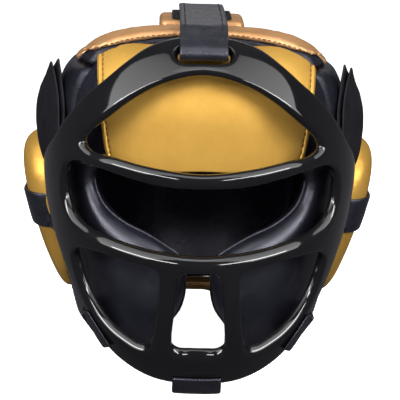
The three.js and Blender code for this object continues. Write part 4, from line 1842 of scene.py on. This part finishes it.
@dataclass
class BrowAndCrownTrim(SubAssembly):
    """The sewn patch on the brow, the bound tab on the crown and the pile that the top strap grips."""

    clearance: float = 0.3
    patch_thickness: float = 2.0
    tab_thickness: float = 4.5
    pile_thickness: float = 1.5
    patch_rear_y: float = -48.0
    crown_low_z: float = 200.0
    # Half outline of the patch, as x and z
    patch: tuple = ((0, 230), (40, 229.5), (72, 228), (74, 225), (72, 190), (67, 158), (63, 150.5), (0, 150))
    # Half width, front and rear of the tab and the pile on it
    tab: tuple = (30.0, 2.0, 66.0)
    pile: tuple = (21.0, 4.0, 62.0)
    corner: float = 6.0
    margin: float = 4.0
    patch_steps: int = 160
    side_steps: int = 60
    patch_shift: float = 3.0
    patch_edge: float = 0.9
    tab_edge: float = 3.6
    pile_edge: float = 0.7
    # The patch's raised border at its two sides, and the groove that its stitches lie in
    border: float = 3.2
    border_from: float = 56.0
    border_to: float = 64.0
    rim_height: float = 0.5
    rim_share: float = 0.45
    rim_width: float = 1.1
    groove_depth: float = 0.45
    groove_width: float = 0.7

    def __post_init__(self) -> None:
        """Works out the table of distances to the patch's outline."""
        self.patch_table = DistanceTable.of_loop(curve_through(whole_loop(self.patch), self.patch_steps))

    def patch_field(self, points: Array) -> Array:
        """Signed distance to the brow patch, which has a raised border inside its edge.

        Args:
            points: One row for each.

        Returns:
            Distances, negative inside.
        """
        edge = self.patch_table.at(points[:, 0] - self.patch_shift, points[:, 2])
        height = GUARD.distance(points) - self.clearance
        sides = smooth_step(np.abs(points[:, 0] - self.patch_shift), self.border_from, self.border_to)
        rim = self.rim_height * np.exp(-(((edge + self.rim_share * self.border) / self.rim_width) ** 2))
        groove = self.groove_depth * np.exp(-(((edge + self.border) / self.groove_width) ** 2))
        skin = height - self.patch_thickness - sides * (rim - groove)
        return rounded_overlap([skin, -height, edge, points[:, 1] - self.patch_rear_y], self.patch_edge)

    def patch_thread(self) -> Shape:
        """The stitches inside the patch's left and right borders.

        Returns:
            The stitches.
        """
        half = np.array(self.patch, float)
        edge = curve_through(half[3:6], self.side_steps, closed=False)
        rows = []
        for side in Side:
            x = side.value * (edge[:, 0] - self.border) + self.patch_shift
            guess = np.stack([x, GUARD.front_y(x, edge[:, 1], self.patch_thickness), edge[:, 1]], 1)
            rows.append(Stitching(length=2.6, gap=1.5, radius=0.4).on_surface(self.patch_field, guess))
        return joined(rows)

    def plan(self, points: Array, size: tuple) -> Array:
        """Signed distance in plan to a plate on the crown with round corners.

        Args:
            points: One row for each.
            size: The plate's half width, front and rear.

        Returns:
            Distances, negative inside.
        """
        half, front, rear = size
        across = np.abs(points[:, 0]) - half + self.corner
        along = np.abs(points[:, 1] - (front + rear) / 2) - (rear - front) / 2 + self.corner
        return np.hypot(np.maximum(across, 0.0), np.maximum(along, 0.0)) - self.corner

    def tab_field(self, points: Array) -> Array:
        """Signed distance to the crown tab, which stands level with the crown's front roll.

        Args:
            points: One row for each.

        Returns:
            Distances, negative inside.
        """
        top = TAB_LEVEL.distance(points) - self.clearance - self.tab_thickness
        under = self.clearance - GUARD.distance(points)
        floor = self.crown_low_z - points[:, 2]
        return rounded_overlap([top, under, self.plan(points, self.tab), floor], self.tab_edge)

    def pile_field(self, points: Array) -> Array:
        """Signed distance to the pile on the tab.

        Args:
            points: One row for each.

        Returns:
            Distances, negative inside.
        """
        height = TAB_LEVEL.distance(points) - 2 * self.clearance - self.tab_thickness
        floor = self.crown_low_z - points[:, 2]
        parts = [height - self.pile_thickness, -height, self.plan(points, self.pile), floor]
        return rounded_overlap(parts, self.pile_edge)

    def build(self) -> list[bpy.types.Object]:
        """Makes the patch, the tab and the pile.

        Returns:
            The new pieces.
        """
        rows = (
            ("brow_leather", self.patch_field, "brow_patch", GOLD_LEATHER, Slot.GOLD, 1.1),
            ("crown_tab_cover", self.tab_field, "crown_tab", BRONZE_LEATHER, Slot.GOLD, 1.2),
            ("crown_pile", self.pile_field, "crown_loop_field", LOOP_PILE, Slot.PILE, 0.9),
        )
        made = []
        for name, field, node, finish, slot, cell in rows:
            low, high = solid_box(node)
            shape = net_shape(field, low - self.margin, high + self.margin, cell)
            made.append(self.add(name, shape, finish, slot, node))
        made.append(self.add("brow_leather_stitches", self.patch_thread(), BROWN_THREAD))
        return made


@dataclass
class CageStraps(SubAssembly):
    """The straps that hold the cage at the crown, the temples, the jaw and the chin."""

    cage: FaceCage
    thickness: float = 2.5
    clearance: float = 0.3
    top_width: float = 32.0
    top_thickness: float = 2.6
    top_relief: float = 0.28
    top_inset: float = 3.6
    top_row_ends: tuple = (0.01, 0.68)
    chin_width: float = 33.0
    chin_length: float = 30.0
    chin_relief: float = 0.1
    temple_width: float = 36.0
    temple_length: float = 74.0
    temple_thickness: float = 1.8
    temple_relief: float = 0.15
    temple_inset: float = 3.2
    temple_row_ends: tuple = (0.04, 0.96)
    steps: int = 80
    top_steps: int = 400
    chin_columns: int = 40
    jaw_width: float = 27.0
    # How the jaw strap's loop and tongue lie beside its spot
    jaw_loop_middle: float = -5.5
    jaw_loop_reach: float = 11.5
    jaw_tongue_half: float = 1.3
    jaw_tongue_y: float = -64.0
    jaw_tongue_reach: float = 20.0
    jaw_gap: float = 0.4
    jaw_edge: float = 0.9
    jaw_cell: float = 1.0
    jaw_spot: tuple = (71.0, 38.0)
    jaw_tilt: float = -54.0
    # The chin strap's rows: a height on the cage's face, how far behind the face a row is, and its height
    chin_stages: tuple = (
        (14.0, -1.7, 14.0), (11.0, -1.7, 11.0), (8.5, -1.7, 8.5), (7.2, -0.9, 4.6), (7.2, 2.6, 1.8),
        (7.2, 8.0, 1.3), (7.2, 14.0, 1.3),
    )
    # Top strap's middle, as y and z, from its rear end to the slot and back under the bar
    top_path: tuple = (
        (60, 242.2), (36, 243.8), (5, 245.0), (-30, 245.4), (-56, 245.2), (-68, 244.4), (-74.5, 241.9),
        (-83, 238.9), (-91, 235.6), (-96.5, 231.6), (-96.5, 227.6), (-90, 226.2), (-80, 228.6), (-70, 234.2),
        (-66, 240.2),
    )
    # The temple strap's outer layer: its two edges, each as x, y and z, from the cage to the tip
    temple_front: tuple = (
        (96, -58, 164), (96.5, -53, 169), (97, -46, 177), (98, -37, 189), (100.5, -27, 201),
        (104.5, -16, 211),
    )
    temple_rear: tuple = (
        (106, -36, 141), (110.5, -28, 151), (114, -14, 163), (115, -3, 177), (112.5, 7, 189), (109, 12, 197),
    )
    # The layer under it, which lies on the guard
    under_front: tuple = (
        (94, -56, 167), (93.4, -50, 173), (93.4, -43, 182), (94.8, -36, 192), (96.8, -28, 203),
        (99, -22, 214),
    )
    under_rear: tuple = (
        (103, -36, 143), (107, -28, 152), (110, -15, 164), (110.5, -4, 178), (108, 5, 190), (104.5, 8, 202),
    )

    def top(self) -> Ribbon:
        """The strap over the crown and round the cage's top bar.

        Returns:
            The strap.
        """
        path = curve_through(self.top_path, self.top_steps, closed=False)
        shares = np.linspace(0, 1, len(path))
        length = walked_along(path)[-1]

        def middle(along: Array, across: Array) -> Array:
            """The strap's middle surface at two shares."""
            return np.column_stack([across * self.top_width / 2, read_along(along, shares, path)])

        return Ribbon(middle, length, self.top_width, self.top_thickness, relief=self.top_relief, seed=3)

    def chin(self) -> Ribbon:
        """The strap's tab under the cage's chin.

        Returns:
            The tab.
        """
        xs = np.linspace(-self.chin_width / 2, self.chin_width / 2, self.chin_columns)
        rows = []
        for face_z, shift, z in self.chin_stages:
            y = CAGE_BODY.front_y(xs, np.full_like(xs, face_z)) + shift
            rows.append(np.stack([xs, y, np.full_like(xs, z)], 1))
        columns = np.stack(rows, 1)
        grid = np.stack([curve_through(column, self.steps, closed=False) for column in columns], 1)

        def middle(along: Array, across: Array) -> Array:
            """The strap's middle surface at two shares.

            Args:
                along: Shares along the strap.
                across: Shares across it.

            Returns:
                One point for each pair.
            """
            place = np.clip(along, 0, 1) * (self.steps - 1)
            row = np.minimum(place.astype(int), self.steps - 2)
            part = (place - row)[:, None]
            column = (np.clip(across, -1, 1) + 1) / 2 * (len(xs) - 1)
            spot = np.minimum(column.astype(int), len(xs) - 2)
            side = (column - spot)[:, None]
            upper = mix(grid[row, spot], grid[row, spot + 1], side)
            lower = mix(grid[row + 1, spot], grid[row + 1, spot + 1], side)
            return mix(upper, lower, part)

        relief = self.chin_relief
        return Ribbon(middle, self.chin_length, self.chin_width, self.thickness, relief=relief, seed=5)

    def temple(self, front_corners: tuple, rear_corners: tuple, seed: int) -> Ribbon:
        """One layer of the right temple strap.

        Args:
            front_corners: Corners of its front edge, from the cage to the tip.
            rear_corners: Corners of its rear edge.
            seed: Which creases it has.

        Returns:
            The layer.
        """
        front = curve_through(front_corners, self.steps, closed=False)
        rear = curve_through(rear_corners, self.steps, closed=False)
        shares = np.linspace(0, 1, self.steps)

        def middle(along: Array, across: Array) -> Array:
            """The strap's middle surface at two shares."""
            edges = (read_along(along, shares, edge) for edge in (front, rear))
            return mix(*edges, ((across + 1) / 2)[:, None])

        return Ribbon(
            middle, self.temple_length, self.temple_width, self.temple_thickness,
            relief=self.temple_relief, seed=seed,
        )

    def jaw(self, points: Array) -> Array:
        """Signed distance to the right jaw strap, folded round the cage's rim.

        Args:
            points: One row for each.

        Returns:
            Distances, negative inside.
        """
        tilt = math.radians(self.jaw_tilt)
        x, z = points[:, 0] - self.jaw_spot[0], points[:, 2] - self.jaw_spot[1]
        along = x * math.cos(tilt) - z * math.sin(tilt)
        across = x * math.sin(tilt) + z * math.cos(tilt)
        sides = np.abs(along) - self.jaw_width / 2
        wrap = self.cage.field(points) - self.clearance
        reach = np.abs(across - self.jaw_loop_middle) - self.jaw_loop_reach
        loop = rounded_overlap([wrap - self.thickness, -wrap, sides, reach], self.jaw_edge)
        deep = np.abs(points[:, 1] - self.jaw_tongue_y) - self.jaw_tongue_reach
        clear = [self.jaw_gap - GUARD.distance(points), self.jaw_gap - self.cage.field(points)]
        tongue = [np.abs(across) - self.jaw_tongue_half, sides, deep, *clear]
        return np.minimum(loop, rounded_overlap(tongue, self.jaw_edge))

    def build(self) -> list[bpy.types.Object]:
        """Makes the straps.

        Returns:
            The new pieces.
        """
        top, chin = self.top(), self.chin()
        top_rows = top.stitches(self.top_inset, Stitching(), self.top_row_ends)
        made = [
            self.add("crown_strap", top.shape(), STRAP_LEATHER, Slot.STRAP, "top_strap"),
            self.add("crown_strap_stitches", joined(top_rows), DARK_THREAD),
            self.add("chin_band", chin.shape(), STRAP_LEATHER, Slot.STRAP, "chin_strap"),
        ]
        outer = self.temple(self.temple_front, self.temple_rear, seed=11)
        under = self.temple(self.under_front, self.under_rear, seed=14)
        temple = joined([outer.shape(), under.shape()])
        thread = joined(outer.stitches(self.temple_inset, Stitching(), self.temple_row_ends))
        jaw = net_shape(self.jaw, *solid_box("jaw_strap_right"), self.jaw_cell)
        for side in Side:
            word = side.word
            made.append(self.add(
                f"temple_band_{word}", temple.mirrored(side), MATT_STRAP, Slot.STRAP, f"temple_strap_{word}",
            ))
            made.append(self.add(f"temple_band_stitches_{word}", thread.mirrored(side), DARK_THREAD))
            made.append(self.add(
                f"jaw_band_{word}", jaw.mirrored(side), STRAP_LEATHER, Slot.STRAP, f"jaw_strap_{word}",
            ))
        return made


# Studio


def way_out(turn: float, rise: float) -> Vector:
    """The way from the headgear to what stands so many degrees round from its front, and up."""
    a, e = math.radians(turn), math.radians(rise)
    return Vector((math.sin(a) * math.cos(e), -math.cos(a) * math.cos(e), math.sin(e)))


@dataclass(frozen=True)
class SoftLight:
    """A soft light: degrees round from the camera and up, its size in metres, and how bright its face is.

    The foot and head are shares of that brightness at the light's lower and upper edge, and a light that
    is not mirrored is not seen in glossy surfaces.
    """

    turn: float
    rise: float
    size: tuple
    brightness: float
    distance: float = 0.95
    foot: float = 1.0
    head: float = 1.0
    mirrored: bool = True


LIGHTS = {
    "soft_panel": SoftLight(50.0, 52.0, (0.84, 1.5), 2.0, foot=2.7, head=0.4),
    "edge_strip": SoftLight(34.0, 25.0, (0.78, 0.12), 21.0, foot=1.4, head=0.5, distance=0.93),
    "front_fill": SoftLight(22.0, 12.0, (0.5, 0.5), 5.0, distance=1.2, mirrored=False),
    "rear_fill": SoftLight(168.0, 30.0, (0.8, 0.5), 0.4, distance=1.3),
}


@dataclass
class Studio:
    """A pale floor, soft lights in pairs and the photograph's camera."""

    target: tuple = (1.8, 9.5, 108.0)
    distance: float = 1400.0
    elevation: float = 13.0
    yaw: float = 1.2
    roll: float = 1.4
    lens: float = 175.0
    sensor: float = 36.0
    floor_size: float = 6.0
    floor_tone: Colour = (0.9, 0.9, 0.9)
    floor_roughness: float = 0.7
    surround: Colour = (0.12, 0.12, 0.13)

    def camera(self) -> None:
        """Places the camera."""
        data = bpy.data.cameras.new("camera")
        data.lens = self.lens
        data.sensor_width = self.sensor
        camera = bpy.data.objects.new("camera", data)
        bpy.context.scene.collection.objects.link(camera)
        back = way_out(-self.yaw, self.elevation)
        spot = (Vector(self.target) + back * self.distance) * METRES
        facing = (-back).to_track_quat("-Z", "Y").to_matrix().to_4x4()
        rolled = Matrix.Rotation(math.radians(self.roll), 4, "Z")
        camera.matrix_world = Matrix.Translation(spot) @ facing @ rolled
        bpy.context.scene.camera = camera

    def floor(self) -> None:
        """Makes the pale floor that the headgear stands on."""
        half = self.floor_size / 2
        mesh = bpy.data.meshes.new("floor")
        corners = [(-half, -half, 0), (half, -half, 0), (half, half, 0), (-half, half, 0)]
        mesh.from_pydata(corners, [], [(0, 1, 2, 3)])
        floor = bpy.data.objects.new("floor", mesh)
        bpy.context.scene.collection.objects.link(floor)
        paint = bpy.data.materials.new("floor_paint")
        paint.use_nodes = True
        surface = paint.node_tree.nodes["Principled BSDF"]
        surface.inputs["Base Color"].default_value = (*self.floor_tone, 1.0)
        surface.inputs["Roughness"].default_value = self.floor_roughness
        surface.inputs["Emission Color"].default_value = (1.0, 1.0, 1.0, 1.0)
        surface.inputs["Emission Strength"].default_value = 1.0
        mesh.materials.append(paint)
        floor.visible_glossy = False
        floor.visible_diffuse = False

    def soft_light(self, name: str, light: SoftLight, side: Side) -> None:
        """Places one soft light of a pair.

        Args:
            name: The light's name.
            light: What the light is.
            side: Which side of the camera it stands on.
        """
        data = bpy.data.lights.new(f"{name}_{side.word}", "AREA")
        data.shape = "RECTANGLE"
        data.size, data.size_y = light.size
        data.energy = light.brightness * math.pi * light.size[0] * light.size[1]
        data.use_nodes = True
        tree = data.node_tree
        place = tree.nodes.new("ShaderNodeSeparateXYZ")
        shares = tree.nodes.new("ShaderNodeMapRange")
        shares.inputs["To Min"].default_value = light.foot
        shares.inputs["To Max"].default_value = light.head
        tree.links.new(tree.nodes.new("ShaderNodeNewGeometry").outputs["Parametric"], place.inputs[0])
        tree.links.new(place.outputs["Y"], shares.inputs["Value"])
        tree.links.new(shares.outputs[0], tree.nodes["Emission"].inputs["Strength"])
        lamp = bpy.data.objects.new(f"{name}_{side.word}", data)
        bpy.context.scene.collection.objects.link(lamp)
        way = way_out(light.turn * side.value, light.rise)
        lamp.location = Vector(self.target) * METRES + way * light.distance
        lamp.rotation_mode = "QUATERNION"
        lamp.rotation_quaternion = way.to_track_quat("Z", "Y")
        lamp.visible_camera = False
        lamp.visible_glossy = light.mirrored

    def world(self) -> None:
        """A white surround for the camera, and a dim one for light and reflections."""
        world = bpy.data.worlds.new("surround")
        world.use_nodes = True
        bpy.context.scene.world = world
        tree = world.node_tree
        tree.nodes.clear()
        seen, dim = tree.nodes.new("ShaderNodeBackground"), tree.nodes.new("ShaderNodeBackground")
        seen.inputs["Color"].default_value = (1.0, 1.0, 1.0, 1.0)
        dim.inputs["Color"].default_value = (*self.surround, 1.0)
        blend, path = tree.nodes.new("ShaderNodeMixShader"), tree.nodes.new("ShaderNodeLightPath")
        output = tree.nodes.new("ShaderNodeOutputWorld")
        tree.links.new(path.outputs["Is Camera Ray"], blend.inputs[0])
        tree.links.new(dim.outputs[0], blend.inputs[1])
        tree.links.new(seen.outputs[0], blend.inputs[2])
        tree.links.new(blend.outputs[0], output.inputs["Surface"])

    def build(self) -> None:
        """Sets up the camera, the floor and the lights."""
        bpy.context.scene.view_settings.view_transform = "Standard"
        self.camera()
        self.floor()
        self.world()
        for side in Side:
            for name, light in LIGHTS.items():
                self.soft_light(name, light, side)


def main() -> None:
    """Builds the studio and the headgear, and reports each piece."""
    logging.basicConfig(level=logging.INFO, format="%(message)s")
    Studio().build()
    cage = FaceCage()
    for assembly in (cage, PaddedGuard(), EarPads(), BrowAndCrownTrim(), CageStraps(cage)):
        for piece in assembly.build():
            log.info("%s has %d faces", piece.name, len(piece.data.polygons))


if __name__ == "__main__":
    main()
